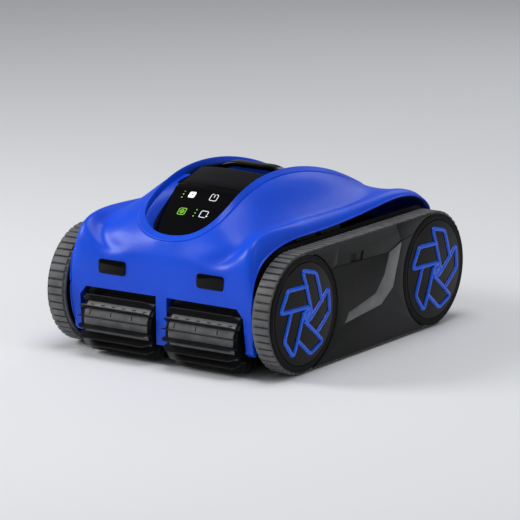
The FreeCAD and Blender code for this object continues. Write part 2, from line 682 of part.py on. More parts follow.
# ---------------------------------------------------------------- deck, panel and handle
def slope(points, thickness):
    """A slanted plate outline: the top line given from the front axle, and its lower copy."""
    top = [("front_y + %s" % y, "axle_z + %s" % z) for y, z in points]
    low = [(y, "%s - %s" % (z, thickness)) for y, z in top]
    return top + low[::-1]


panel_line = [(-33, 73.4), (4.5, 102), (26, 118.6), (39.5, 128.8), (64, 136), (89, 141.7)]


def panel_and_lights():
    """Glossy panel, the light guides under it and the board that drives them."""
    inner = (minus("opening_half_width - rim_bevel - 3"), "opening_half_width - rim_bevel - 3")
    piece(plate(inner, slope(panel_line, "panel_plate")), "control_panel")
    board_line = [(y, z - value("board_depth")) for y, z in panel_line[1:5]]
    board_x = (minus("opening_half_width - board_inset"), "opening_half_width - board_inset")
    board = plate(board_x, slope(board_line, "board_thickness"))
    piece(board, "display_board")
    guides = []
    wide, thick = value("lamp_size"), value("lamp_thickness")
    for _, side in both:
        for y, z in panel_line[1:3]:
            foot = point("%s * lamp_offset - lamp_size/2" % side, "front_y - lamp_size/2 + %s" % y,
                         "axle_z - board_depth + board_thickness + 0.8 + %s" % z)
            guides.append(Part.makeBox(wide, wide, thick, foot))
    for guide in guides:
        guide.rotate(guide.CenterOfMass, vector(1, 0, 0), value("lamp_tilt"))
    piece(shaped(Part.makeCompound(guides)), "indicator_lights")


def top_deck():
    """Black liner of the opening: side walls, hand well and the seat that the basket hangs in."""
    wall_line = [("front_y - 30", "axle_z + 67"), ("front_y - 24", "axle_z + 100"),
                 ("front_y + 5", "axle_z + 118"), ("front_y + 35", "axle_z + 131"),
                 ("front_y + 95", "axle_z + 139"), ("rear_y - 135", "axle_z + 134"),
                 ("rear_y - 75", "axle_z + 122"), ("rear_y - 26", "axle_z + 104"),
                 ("rear_y + 10", "axle_z + 86"), ("rear_y + 10", "deck_top - hull_wall")]
    wall_line.append(("lid_front_y", "deck_top - hull_wall"))
    inner = (minus("opening_half_width - rim_bevel - 1"), "opening_half_width - rim_bevel - 1")
    solids = [plate(across(side, "opening_half_width - rim_bevel - 2.5",
                           "opening_half_width - rim_bevel - 0.3"), wall_line)
              for _, side in both]
    solids.append(box(inner, ("well_rear_y - 3", "rear_y + 12"), ("deck_top - hull_wall", "deck_top")))
    solids.append(box(inner, ("well_front_y", "well_rear_y"), ("deck_top", "deck_top + hull_wall")))
    solids.append(box(inner, ("well_front_y - hull_wall", "well_front_y"), ("deck_top", "axle_z + 136")))
    solids.append(box(inner, ("well_rear_y - hull_wall", "well_rear_y"), ("deck_top", "axle_z + 122")))
    barrel_x = (minus("barrel_half"), "barrel_half")
    solids.append(rod("x", barrel_x, ("hinge_y", "hinge_z"), "barrel_radius"))
    solids.append(box(barrel_x, ("hinge_y - 2", "hinge_y + 2"), ("deck_top - 1", "hinge_z")))
    for _, side in both:
        x = across(side, "knuckle_in", "knuckle_out")
        solids.append(rod("x", x, ("hinge_y", "hinge_z"), "barrel_radius"))
        solids.append(box(x, ("hinge_y - 2", "hinge_y + 2"), ("deck_top - 1", "hinge_z")))
    seat = box((minus("basket_half_width + seat_gap"), "basket_half_width + seat_gap"),
               ("basket_front_y - seat_gap", "basket_rear_y + seat_gap"),
               ("deck_top - hull_wall - 1", "deck_top + 1"))
    pin_hole = rod("x", (minus("knuckle_out + 1"), "knuckle_out + 1"), ("hinge_y", "hinge_z"), "pin_radius")
    piece(cut(join(*solids), seat, pin_hole), "top_deck")
    pin = rod("x", (minus("knuckle_out"), "knuckle_out"), ("hinge_y", "hinge_z"), "pin_radius")
    piece(pin, "lid_hinge_pin")


def carry_handle():
    """Glossy bar across the opening, with a pad at each end that screws to the liner."""
    half = "opening_half_width - rim_bevel - 2.5"
    bar = box((minus(half), half), ("handle_y - handle_depth/2", "handle_y + handle_depth/2 - 2"),
              ("handle_z - handle_height/2", "handle_z + handle_height/2"))
    bar = rounded(bar, "x", "handle_height/2 - 0.6")
    pads = [box(across(side, "opening_half_width - rim_bevel - 5.5", half),
                ("handle_y - handle_depth/2", "handle_y + handle_depth/2 - 2"),
                ("handle_z - handle_height/2 - handle_pad_drop", "handle_z")) for _, side in both]
    piece(join(bar, *pads), "carry_handle")


# ---------------------------------------------------------------- lid, basket and intake
def filter_lid():
    """Hinged blue lid over the basket: a shallow cap with two hinge ears at the rear."""
    def line(inset, low):
        return [("lid_front_y + %s" % inset, low),
                ("lid_front_y + %s" % inset, "axle_z + 131 - %s" % inset),
                ("lid_front_y + 38", "axle_z + 127.5 - %s" % inset),
                ("rear_y - 60", "axle_z + 117 - %s" % inset),
                ("rear_y - 26", "axle_z + 104 - %s" % inset),
                ("lid_rear_y - %s" % inset, "axle_z + 91 - %s" % inset),
                ("lid_rear_y - %s" % inset, low)]
    outer = plate((minus("lid_half_width"), "lid_half_width"), line("0.01", "lid_bottom"))
    hollow = plate((minus("lid_half_width - lid_wall"), "lid_half_width - lid_wall"),
                   line("lid_wall", "lid_bottom - 1"))
    ears = []
    for _, side in both:
        x = across(side, "ear_in", "ear_out")
        ears.append(rod("x", x, ("hinge_y", "hinge_z"), "barrel_radius"))
        ears.append(box(x, ("lid_rear_y - 1", "hinge_y"), ("hinge_z - 2", "hinge_z + 2")))
    bore = rod("x", (minus("knuckle_out + 1"), "knuckle_out + 1"), ("hinge_y", "hinge_z"),
               "pin_radius + running_clearance")
    room = box((minus("ear_in - 0.4"), "ear_in - 0.4"), ("hinge_y - pin_radius - 3", "hinge_y + 6"),
               ("hinge_z - 6", "hinge_z + 6"))
    outer_room = [box(across(side, "ear_out + 0.4", "knuckle_out + 0.6"),
                      ("hinge_y - pin_radius - 3", "hinge_y + 6"),
                      ("hinge_z - 6", "hinge_z + 6")) for _, side in both]
    piece(cut(join(cut(outer, hollow), *ears), bore, room, *outer_room), "filter_lid")


def basket():
    """Filter basket hung by its lip, with mesh in its side windows, and the lid seal on it."""
    half, wall = "basket_half_width", "basket_wall"
    x = (minus(half), half)
    outer = box(x, ("basket_front_y", "basket_rear_y"), ("basket_bottom", "basket_top"))
    lip = box((minus(half + " + flange_lip"), half + " + flange_lip"),
              ("basket_front_y - flange_lip", "basket_rear_y + flange_lip"), ("deck_top", "basket_top"))
    inner = box((minus("%s - %s" % (half, wall)), "%s - %s" % (half, wall)),
                ("basket_front_y + basket_wall", "basket_rear_y - basket_wall"),
                ("basket_bottom + basket_wall", "basket_top + 1"))
    mouth = box((minus("intake_half_width + 0.5"), "intake_half_width + 0.5"),
                ("intake_front_y - 0.5", "intake_rear_y + 0.5"), ("basket_bottom - 1", "basket_bottom + 4"))
    windows, nets = [], []
    for _, side in both:
        for start in ("basket_front_y + 10", "basket_front_y + basket_length/2 + 5"):
            y = (start, "%s + basket_length/2 - 15" % start)
            z = ("basket_bottom + 16", "basket_top - 16")
            windows.append(box(across(side, "basket_half_width - 3", "basket_half_width + 1"), y, z))
            nets.append(box(across(side, "basket_half_width - 1.4", "basket_half_width - 0.6"), y, z))
    piece(cut(join(outer, lip), inner, mouth, *windows), "filter_basket")
    doc.recompute()
    piece(shaped(Part.makeCompound([net.Shape for net in nets])), "filter_mesh")

    ring = box((minus(half + " + flange_lip"), half + " + flange_lip"),
               ("basket_front_y - flange_lip", "basket_rear_y + flange_lip"), ("basket_top", "seal_top"))
    hole = box((minus(half), half), ("basket_front_y", "basket_rear_y"),
               ("basket_top - 1", "seal_top + 1"))
    piece(cut(ring, hole), "lid_seal")


def intake():
    """Duct from the floor into the basket, with the flap that keeps the dirt in."""
    half = "intake_half_width"
    top = "basket_bottom + 5"
    y = ("intake_front_y", "intake_rear_y")
    tube = box((minus(half), half), y, ("ground_clearance", top))
    bore = box((minus(half + " - 2"), half + " - 2"), ("intake_front_y + 2", "intake_rear_y - 2"),
               ("ground_clearance - 1", top + " + 1"))
    piece(cut(tube, bore), "intake_duct")
    leaf = box((minus(half + " - 1"), half + " - 1"), ("intake_front_y + 1", "intake_rear_y - 1"),
               (top + " + 0.3", top + " + 2.3"))
    roll = rod("x", (minus(half + " - 1"), half + " - 1"), ("intake_rear_y - 1", top + " + 1.8"), "1.5")
    piece(join(leaf, roll), "intake_flap")


# ---------------------------------------------------------------- power and pump
def power():
    battery = box((minus("battery_half_width"), "battery_half_width"),
                  ("bay_back_y + hull_wall + 4", "bay_back_y + hull_wall + 4 + battery_length"),
                  ("floor_top", "floor_top + battery_height"))
    piece(rounded(battery, "y", "6"), "battery_pack")
    shelf = "floor_top + battery_height + control_gap"
    control = box((minus("control_half_width"), "control_half_width"),
                  ("bay_back_y + hull_wall + 6", "bay_back_y + hull_wall + 6 + control_length"),
                  (shelf, shelf + " + control_height"))
    piece(rounded(control, "z", "5"), "control_box")


def pump():
    """Sealed pump motor, impeller, the duct round them and the grille over the outlet."""
    centre = ("0", "pump_z")
    start = "basket_rear_y + 1"
    motor_end = "hull_inside_rear_y - 20"
    can = rod("y", (start + " + 6", motor_end), centre, "motor_radius + can_wall")
    nose = rod("y", (start, start + " + 6"), centre, "motor_radius - 3")
    spider_y = (start + " + 12", start + " + 16")
    legs = [box((minus("pump_radius - spider_gap"), "pump_radius - spider_gap"), spider_y,
                ("pump_z - spider_half", "pump_z + spider_half")),
            box((minus("spider_half"), "spider_half"), spider_y,
                ("pump_z - pump_radius + spider_gap", "pump_z + pump_radius - spider_gap"))]
    piece(join(can, nose, *legs), "pump_motor")
    tube_y = (start, "hull_rear_y")
    tube = cut(rod("y", tube_y, centre, "pump_radius + duct_wall"), rod("y", tube_y, centre, "pump_radius"))
    piece(tube, "pump_duct")

    hub_y = ("hull_inside_rear_y - 19.5", "hull_inside_rear_y - 6")
    hub = rod("y", hub_y, centre, "impeller_hub_radius")
    axis = vector(0, 1, 0)
    blades = []
    middle = value("hull_inside_rear_y - 12.5")
    wide, thick, root = value("vane_width"), value("vane_thickness"), value("impeller_root")
    for index in range(int(value("impeller_blades"))):
        blade = Part.makeBox(wide, thick, value("impeller_reach") - root, vector(-wide / 2, -thick / 2, root))
        blade.rotate(vector(), vector(0, 0, 1), value("vane_pitch_angle"))
        blade.rotate(vector(), axis, 360 * index / int(value("impeller_blades")))
        blade.translate(vector(0, middle, value("pump_z")))
        blades.append(shaped(blade))
    piece(join(hub, *blades), "impeller")

    plate_y = ("hull_rear_y", "hull_rear_y + grille_plate")
    disc = rod("y", plate_y, centre, "pump_radius + grille_lip")
    bars = []
    for index in range(-3, 4):
        height = "pump_z + %s*grille_step" % index
        reach = "sqrt((pump_radius - 1)^2 - (%s*grille_step + grille_bar_half)^2)" % abs(index)
        bars.append(box((minus(reach), reach), ("hull_rear_y - 1", "hull_rear_y + 4"),
                        (height + " - grille_bar_half", height + " + grille_bar_half")))
    piece(cut(disc, *bars), "outlet_grille")

    port = ("pump_radius + port_offset", "pump_z - port_drop")
    flange = ("hull_rear_y", "hull_rear_y + port_flange")
    piece(rod("y", flange, port, "port_radius"), "charging_port")


# ---------------------------------------------------------------- the whole machine
lower_hull()
hull_screws()
bushes()
top_shell()
panel_and_lights()
top_deck()
carry_handle()
filter_lid()
basket()
intake()
power()
pump()
for name, side in both:
    piece(window_block(side), "sensor_window_" + name)
    track_belt(name, side)
    side_cover(name, side)
    rear_axle(name, side)
    drive_side(name, side)
    roller_brush(name, side)
    for place, centre_y in wheels:
        wheel(place, centre_y, name, side)
        hub_cap(place, centre_y, name, side)

doc.recompute()
for thing in doc.Objects:
    if "Invalid" in thing.State or "Error" in thing.State:
        raise RuntimeError("object %s (%s) failed: %s" % (thing.Name, thing.Label, thing.State))
for thing in made:
    if thing.Shape.isNull() or not thing.Shape.isValid():
        raise RuntimeError("piece %s has no valid shape" % thing.Label)

os.makedirs("parts", exist_ok=True)
for thing in made:
    thing.Shape.exportStep("parts/%s.step" % thing.Label)
print("%d pieces written" % len(made))
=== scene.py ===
import bmesh
import bpy
import json
import math
from mathutils import Matrix, Vector

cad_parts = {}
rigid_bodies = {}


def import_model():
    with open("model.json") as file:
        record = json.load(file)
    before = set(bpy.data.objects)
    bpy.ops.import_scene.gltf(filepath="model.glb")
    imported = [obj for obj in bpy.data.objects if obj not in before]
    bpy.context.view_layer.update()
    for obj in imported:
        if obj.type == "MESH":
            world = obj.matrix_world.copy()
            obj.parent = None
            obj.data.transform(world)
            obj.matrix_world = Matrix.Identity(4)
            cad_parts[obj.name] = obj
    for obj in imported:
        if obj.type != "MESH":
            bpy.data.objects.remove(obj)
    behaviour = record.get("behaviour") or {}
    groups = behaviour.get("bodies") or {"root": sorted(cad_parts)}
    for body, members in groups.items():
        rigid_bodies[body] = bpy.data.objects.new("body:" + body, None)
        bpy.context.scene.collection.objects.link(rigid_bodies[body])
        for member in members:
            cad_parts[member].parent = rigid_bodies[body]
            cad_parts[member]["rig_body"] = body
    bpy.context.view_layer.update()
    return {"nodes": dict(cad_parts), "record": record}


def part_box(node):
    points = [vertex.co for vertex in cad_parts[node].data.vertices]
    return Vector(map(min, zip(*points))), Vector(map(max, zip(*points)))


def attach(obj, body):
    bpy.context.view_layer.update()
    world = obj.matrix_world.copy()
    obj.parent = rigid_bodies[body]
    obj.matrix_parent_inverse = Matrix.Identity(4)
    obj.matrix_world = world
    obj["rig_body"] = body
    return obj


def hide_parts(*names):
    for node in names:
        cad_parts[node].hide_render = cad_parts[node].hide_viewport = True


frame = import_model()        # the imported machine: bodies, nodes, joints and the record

# Cordless pool cleaner. Front is -Y, up is +Z, right is +X. The outlines below are in
# millimetres from the wheel axles, and the meshes are in metres.
mm = 0.001
sides = (("right", 1), ("left", -1))
scene = bpy.context.scene
scene.view_settings.view_transform = "Standard"
slotOf = {part["node"]: part["material_slot"] for part in frame["record"]["subparts"]}


def lowHigh(node, axis):                           # a node's extent in millimetres
    low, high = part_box(node)
    return low[axis] / mm, high[axis] / mm


def middleOf(node, axis):
    return sum(lowHigh(node, axis)) / 2


frontY = middleOf("front_wheel_right", 1)
rearY = middleOf("rear_wheel_right", 1)
axleZ = middleOf("front_wheel_right", 2)
midY = (frontY + rearY) / 2
axleY = {"front": frontY, "rear": rearY}
hullHalf = lowHigh("lower_hull", 0)[1]
panelIn, panelOut = lowHigh("side_panel_right", 0)
brushY = middleOf("brush_core_right", 1)
brushZ = middleOf("brush_core_right", 2)


def linear(hexColour):                             # sRGB hex to Blender's linear values
    parts = [int(hexColour[i:i + 2], 16) / 255 for i in (1, 3, 5)]
    return [p / 12.92 if p <= 0.04045 else ((p + 0.055) / 1.055) ** 2.4 for p in parts] + [1]


def addNode(tree, kind, settings={}, sockets={}):  # one node with its settings, values and links
    node = tree.nodes.new(kind)
    for name, setting in settings.items():
        setattr(node, name, setting)
    for socket, source in sockets.items():
        target = node.inputs[socket]
        if isinstance(source, bpy.types.NodeSocket):
            tree.links.new(source, target)
        else:
            target.default_value = source
    return node


def meshObject(name, points, faces):               # points in millimetres
    mesh = bpy.data.meshes.new(name)
    mesh.from_pydata([Vector(p) * mm for p in points], [], faces)
    mesh.update()
    thing = bpy.data.objects.new(name, mesh)
    scene.collection.objects.link(thing)
    return thing


def cleaned(thing, gap=0.005):                     # merges doubles and turns every face outwards
    work = bmesh.new()
    work.from_mesh(thing.data)
    bmesh.ops.remove_doubles(work, verts=work.verts, dist=gap * mm)
    bmesh.ops.recalc_face_normals(work, faces=work.faces)
    work.to_mesh(thing.data)
    work.free()
    return thing


def modify(thing, kind, **settings):
    modifier = thing.modifiers.new(kind.title(), kind)
    for name, setting in settings.items():
        setattr(modifier, name, setting)
    return modifier


def settle(thing, smooth=32):                      # applies the modifiers and smooths the round parts
    shapes = bpy.context.evaluated_depsgraph_get()
    mesh = bpy.data.meshes.new_from_object(thing.evaluated_get(shapes))
    thing.modifiers.clear()
    thing.data = mesh
    mesh.shade_smooth()
    mesh.set_sharp_from_angle(angle=math.radians(smooth))
    return thing


def joined(name, things):                          # several closed meshes as one piece
    work = bmesh.new()
    for thing in things:
        work.from_mesh(thing.data)
    mesh = bpy.data.meshes.new(name)
    work.to_mesh(mesh)
    work.free()
    for thing in things:
        bpy.data.objects.remove(thing)
    whole = bpy.data.objects.new(name, mesh)
    scene.collection.objects.link(whole)
    return whole


def filleted(corners, radius, steps=5):            # a closed outline with its corners rounded
    points = []
    for index, corner in enumerate(corners):
        middle = Vector(corner)
        back = Vector(corners[index - 1]) - middle
        ahead = Vector(corners[(index + 1) % len(corners)]) - middle
        half = back.angle(ahead) / 2
        cut = min(radius / math.tan(half), back.length * 0.48, ahead.length * 0.48)
        first, last = middle + back.normalized() * cut, middle + ahead.normalized() * cut
        for step in range(steps + 1):
            t = step / steps
            points.append(first * (1 - t) ** 2 + middle * 2 * t * (1 - t) + last * t ** 2)
    return points


def slab(name, outline, axis, low, high, bevel=0.4, segments=2):   # an outline raised along an axis
    def place(point, height):
        u, v = point
        return {"x": (height, u, v), "y": (u, height, v), "z": (u, v, height)}[axis]
    count = len(outline)
    points = [place(p, low) for p in outline] + [place(p, high) for p in outline]
    faces = [(i, (i + 1) % count, (i + 1) % count + count, i + count) for i in range(count)]
    faces += [tuple(range(count)), tuple(range(2 * count - 1, count - 1, -1))]
    thing = cleaned(meshObject(name, points, faces))
    if bevel:
        modify(thing, "BEVEL", width=bevel * mm, segments=segments, limit_method="ANGLE",
               angle_limit=math.radians(40), harden_normals=False)
    return settle(thing)


def turned(name, profile, y, z, steps=96):         # an (x, radius) outline turned about an axle
    points, faces, count = [], [], len(profile)
    for step in range(steps):
        angle = 2 * math.pi * step / steps
        points += [(x, y + r * math.cos(angle), z + r * math.sin(angle)) for x, r in profile]
    for step in range(steps):
        here, there = step * count, (step + 1) % steps * count
        faces += [(here + i, here + (i + 1) % count, there + (i + 1) % count, there + i)
                  for i in range(count)]
    thing = meshObject(name, points, faces)
    work = bmesh.new()
    work.from_mesh(thing.data)
    bmesh.ops.remove_doubles(work, verts=work.verts, dist=0.002 * mm)
    bmesh.ops.dissolve_degenerate(work, edges=work.edges, dist=0.001 * mm)
    bmesh.ops.recalc_face_normals(work, faces=work.faces)
    work.to_mesh(thing.data)
    work.free()
    return settle(thing)


def swept(name, path, section, facing, closed=True):   # a section carried along a path
    count, turns = len(section), len(path)
    points, faces = [], []
    for index, spot in enumerate(path):
        before = path[index - 1] if closed or index else spot
        after = path[(index + 1) % turns] if closed or index < turns - 1 else spot
        along = (after - before).normalized()
        up = facing(spot)
        across = along.cross(up).normalized()
        up = across.cross(along)
        points += [spot + across * u + up * v for u, v in section]
    spans = turns if closed else turns - 1
    for index in range(spans):
        here, there = index * count, (index + 1) % turns * count
        faces += [(here + i, here + (i + 1) % count, there + (i + 1) % count, there + i)
                  for i in range(count)]
    if not closed:
        faces += [tuple(range(count)), tuple(range(len(points) - 1, len(points) - count - 1, -1))]
    return cleaned(meshObject(name, points, faces), 0.001)


def standFor(piece, material, *nodes):             # a finished piece takes the place of CAD nodes
    piece.data.materials.clear()
    piece.data.materials.append(material)
    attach(piece, frame["nodes"][nodes[0]]["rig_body"])
    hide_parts(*nodes)
    return piece


def addTo(piece, material, body):            # a piece with no CAD node of its own
    piece.data.materials.clear()
    piece.data.materials.append(material)
    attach(piece, body)
    return piece


# Finishes. cloud and grain are millimetres; a real mould grain is 0.1 mm and would not show,
# so grain is drawn ten or so times coarser.
finishes = {
    "satinAbsBlue": {         # injection moulded ABS, satin: one deep blue with wide soft highlights
        "light": "#0c55ee", "dark": "#084be0", "cloud": 60, "grain": 1.1, "bump": 0.012,
        "rough": (0.36, 0.42), "ior": 1.36, "coat": 0.05},
    "satinAbsTrimBlue": {     # the same ABS, smoother and a little brighter on the hub blades
        "light": "#1064f4", "dark": "#0a56e6", "cloud": 20, "grain": 0.9, "bump": 0.008,
        "rough": (0.24, 0.3), "ior": 1.45, "coat": 0.15},
    "mouldedHullBlack": {     # glass-filled polypropylene, fine matt texture that hides scuffs
        "light": "#101011", "dark": "#0a0a0b", "cloud": 35, "grain": 1.4, "bump": 0.05,
        "rough": (0.52, 0.64), "ior": 1.25, "coat": 0.0},
    "polishedAbsBlack": {     # mirror-polished mould: clear reflections of the lights
        "light": "#060607", "dark": "#030304", "cloud": 80, "grain": 2.0, "bump": 0.0,
        "rough": (0.07, 0.1), "ior": 1.24, "coat": 0.0},
    "satinPanelBlack": {      # satin moulded ABS side panel, faint orange peel
        "light": "#1c1c1c", "dark": "#141414", "cloud": 45, "grain": 1.2, "bump": 0.02,
        "rough": (0.34, 0.42), "ior": 1.25, "coat": 0.0},
    "inlayGreyPaintedHighlight": {     # grey painted inlay with a soft metallic lustre; its light grey is painted highlight for the light its facets catch
        "light": "#7c7d7e", "dark": "#626364", "cloud": 30, "grain": 0.8, "bump": 0.02,
        "rough": (0.36, 0.44), "ior": 1.5, "coat": 0.1, "metal": 0.25},
    "treadRubberGrey": {      # moulded nitrile rubber: dull grey, lighter and darker in soft random patches
        "light": "#6c6c6c", "dark": "#545454", "cloud": 12, "grain": 1.0, "bump": 0.09,
        "rough": (0.56, 0.7), "ior": 1.52, "coat": 0.0},
    "brushRubberGrey": {      # soft thermoplastic elastomer blades, slight silky sheen
        "light": "#1e1e1f", "dark": "#131314", "cloud": 14, "grain": 1.1, "bump": 0.04,
        "rough": (0.36, 0.48), "ior": 1.4, "coat": 0.0},
    "coreNylonGrey": {        # glass-filled nylon roller core, streaky and half matt
        "light": "#8a8b8c", "dark": "#6c6d6e", "cloud": 16, "grain": 1.0, "bump": 0.03,
        "rough": (0.36, 0.5), "ior": 1.53, "coat": 0.0},
    "stainlessSteel": {       # machined 316 steel with fine turning lines
        "light": "#c9cbcd", "dark": "#a9abae", "cloud": 8, "grain": 0.6, "bump": 0.02,
        "rough": (0.24, 0.34), "ior": 1.5, "coat": 0.0, "metal": 1.0},
    "acetalWhite": {          # machined acetal gears, waxy white
        "light": "#e6e4dc", "dark": "#d2d0c8", "cloud": 10, "grain": 0.9, "bump": 0.01,
        "rough": (0.36, 0.46), "ior": 1.48, "coat": 0.0},
    "castMotorGrey": {        # die-cast housing, shot-blasted
        "light": "#7b7d80", "dark": "#5d5f62", "cloud": 18, "grain": 1.0, "bump": 0.06,
        "rough": (0.42, 0.58), "ior": 1.5, "coat": 0.0, "metal": 0.7},
    "solderMaskGreen": {      # glass-epoxy board under green lacquer
        "light": "#1c6b3c", "dark": "#124f2b", "cloud": 9, "grain": 1.2, "bump": 0.01,
        "rough": (0.22, 0.34), "ior": 1.55, "coat": 0.3},
    "frostedAcrylic": {       # milky light guide
        "light": "#e8ecef", "dark": "#d6dbe0", "cloud": 10, "grain": 1.0, "bump": 0.01,
        "rough": (0.4, 0.5), "ior": 1.49, "coat": 0.0},
    "closedCellFoam": {       # cut polyethylene foam: pitted and matt
        "light": "#4a4c4f", "dark": "#36383a", "cloud": 12, "grain": 1.8, "bump": 0.25,
        "rough": (0.8, 0.92), "ior": 1.45, "coat": 0.0},
    "wovenFilterMesh": {      # fine nylon netting, seen as an even grey
        "light": "#8b9096", "dark": "#6f7479", "cloud": 6, "grain": 0.9, "bump": 0.12,
        "rough": (0.55, 0.7), "ior": 1.53, "coat": 0.0},
}


def plasticFinish(name, look):
    material = bpy.data.materials.new(name)
    material.use_nodes = True
    tree = material.node_tree
    tree.nodes.clear()
    place = addNode(tree, "ShaderNodeTexCoord").outputs["Object"]
    cloud = addNode(tree, "ShaderNodeTexNoise", {},
                    {"Vector": place, "Scale": 1 / (look["cloud"] * mm), "Detail": 3.0, "Roughness": 0.55})
    grain = addNode(tree, "ShaderNodeTexNoise", {},
                    {"Vector": place, "Scale": 1 / (look["grain"] * mm), "Detail": 2.0, "Roughness": 0.6})
    tone = addNode(tree, "ShaderNodeValToRGB", {}, {"Fac": cloud.outputs["Fac"]})
    for stop, spot, shade in zip(tone.color_ramp.elements, (0.3, 0.7), ("dark", "light")):
        stop.position = spot
        stop.color = linear(look[shade])
    low, high = look["rough"]
    polish = addNode(tree, "ShaderNodeMapRange", {},
                     {"Value": grain.outputs["Fac"], "From Min": 0.3, "From Max": 0.7,
                      "To Min": low, "To Max": high})
    relief = addNode(tree, "ShaderNodeBump", {},
                     {"Strength": 1.0, "Distance": look["bump"] * mm, "Height": grain.outputs["Fac"]})
    shader = addNode(tree, "ShaderNodeBsdfPrincipled", {},
                     {"Base Color": tone.outputs["Color"], "Roughness": polish.outputs["Result"],
                      "Normal": relief.outputs["Normal"], "IOR": look["ior"],
                      "Metallic": look.get("metal", 0.0), "Coat Weight": look["coat"],
                      "Coat Roughness": 0.12})
    addNode(tree, "ShaderNodeOutputMaterial", {}, {"Surface": shader.outputs["BSDF"]})
    return material


def glowFinish(name, tint, strength):              # printed icon lit from behind by an LED
    material = bpy.data.materials.new(name)
    material.use_nodes = True
    tree = material.node_tree
    tree.nodes.clear()
    place = addNode(tree, "ShaderNodeTexCoord").outputs["Object"]
    cloud = addNode(tree, "ShaderNodeTexNoise", {}, {"Vector": place, "Scale": 1 / (3 * mm)})
    tone = addNode(tree, "ShaderNodeValToRGB", {}, {"Fac": cloud.outputs["Fac"]})
    for stop, spot, share in zip(tone.color_ramp.elements, (0.3, 0.7), (0.86, 1.0)):
        stop.position = spot
        stop.color = [share * part for part in linear(tint)[:3]] + [1]
    shader = addNode(tree, "ShaderNodeBsdfPrincipled", {},
                     {"Base Color": tone.outputs["Color"], "Emission Color": tone.outputs["Color"],
                      "Emission Strength": strength, "Roughness": 0.3})
    addNode(tree, "ShaderNodeOutputMaterial", {}, {"Surface": shader.outputs["BSDF"]})
    return material


paint = {name: plasticFinish(name, look) for name, look in finishes.items()}
paint["iconWhite"] = glowFinish("iconWhite", "#f4f6f8", 0.5)
paint["iconGreen"] = glowFinish("iconGreen", "#8fd445", 0.55)
slotPaint = {
    "shell_blue": "satinAbsBlue", "trim_blue": "satinAbsTrimBlue", "hull_black": "mouldedHullBlack",
    "gloss_black": "polishedAbsBlack", "panel_grey": "satinPanelBlack",
    "inlay_grey": "inlayGreyPaintedHighlight", "track_rubber": "treadRubberGrey",
    "brush_rubber": "brushRubberGrey", "core_grey": "coreNylonGrey", "steel": "stainlessSteel",
    "gear_white": "acetalWhite", "motor_grey": "castMotorGrey", "board_green": "solderMaskGreen",
    "light_guide": "frostedAcrylic", "foam_grey": "closedCellFoam", "mesh_grey": "wovenFilterMesh",
}
for node, thing in frame["nodes"].items():
    thing.data.materials.clear()
    thing.data.materials.append(paint[slotPaint[slotOf[node]]])
print("finishes on", len(frame["nodes"]), "nodes")


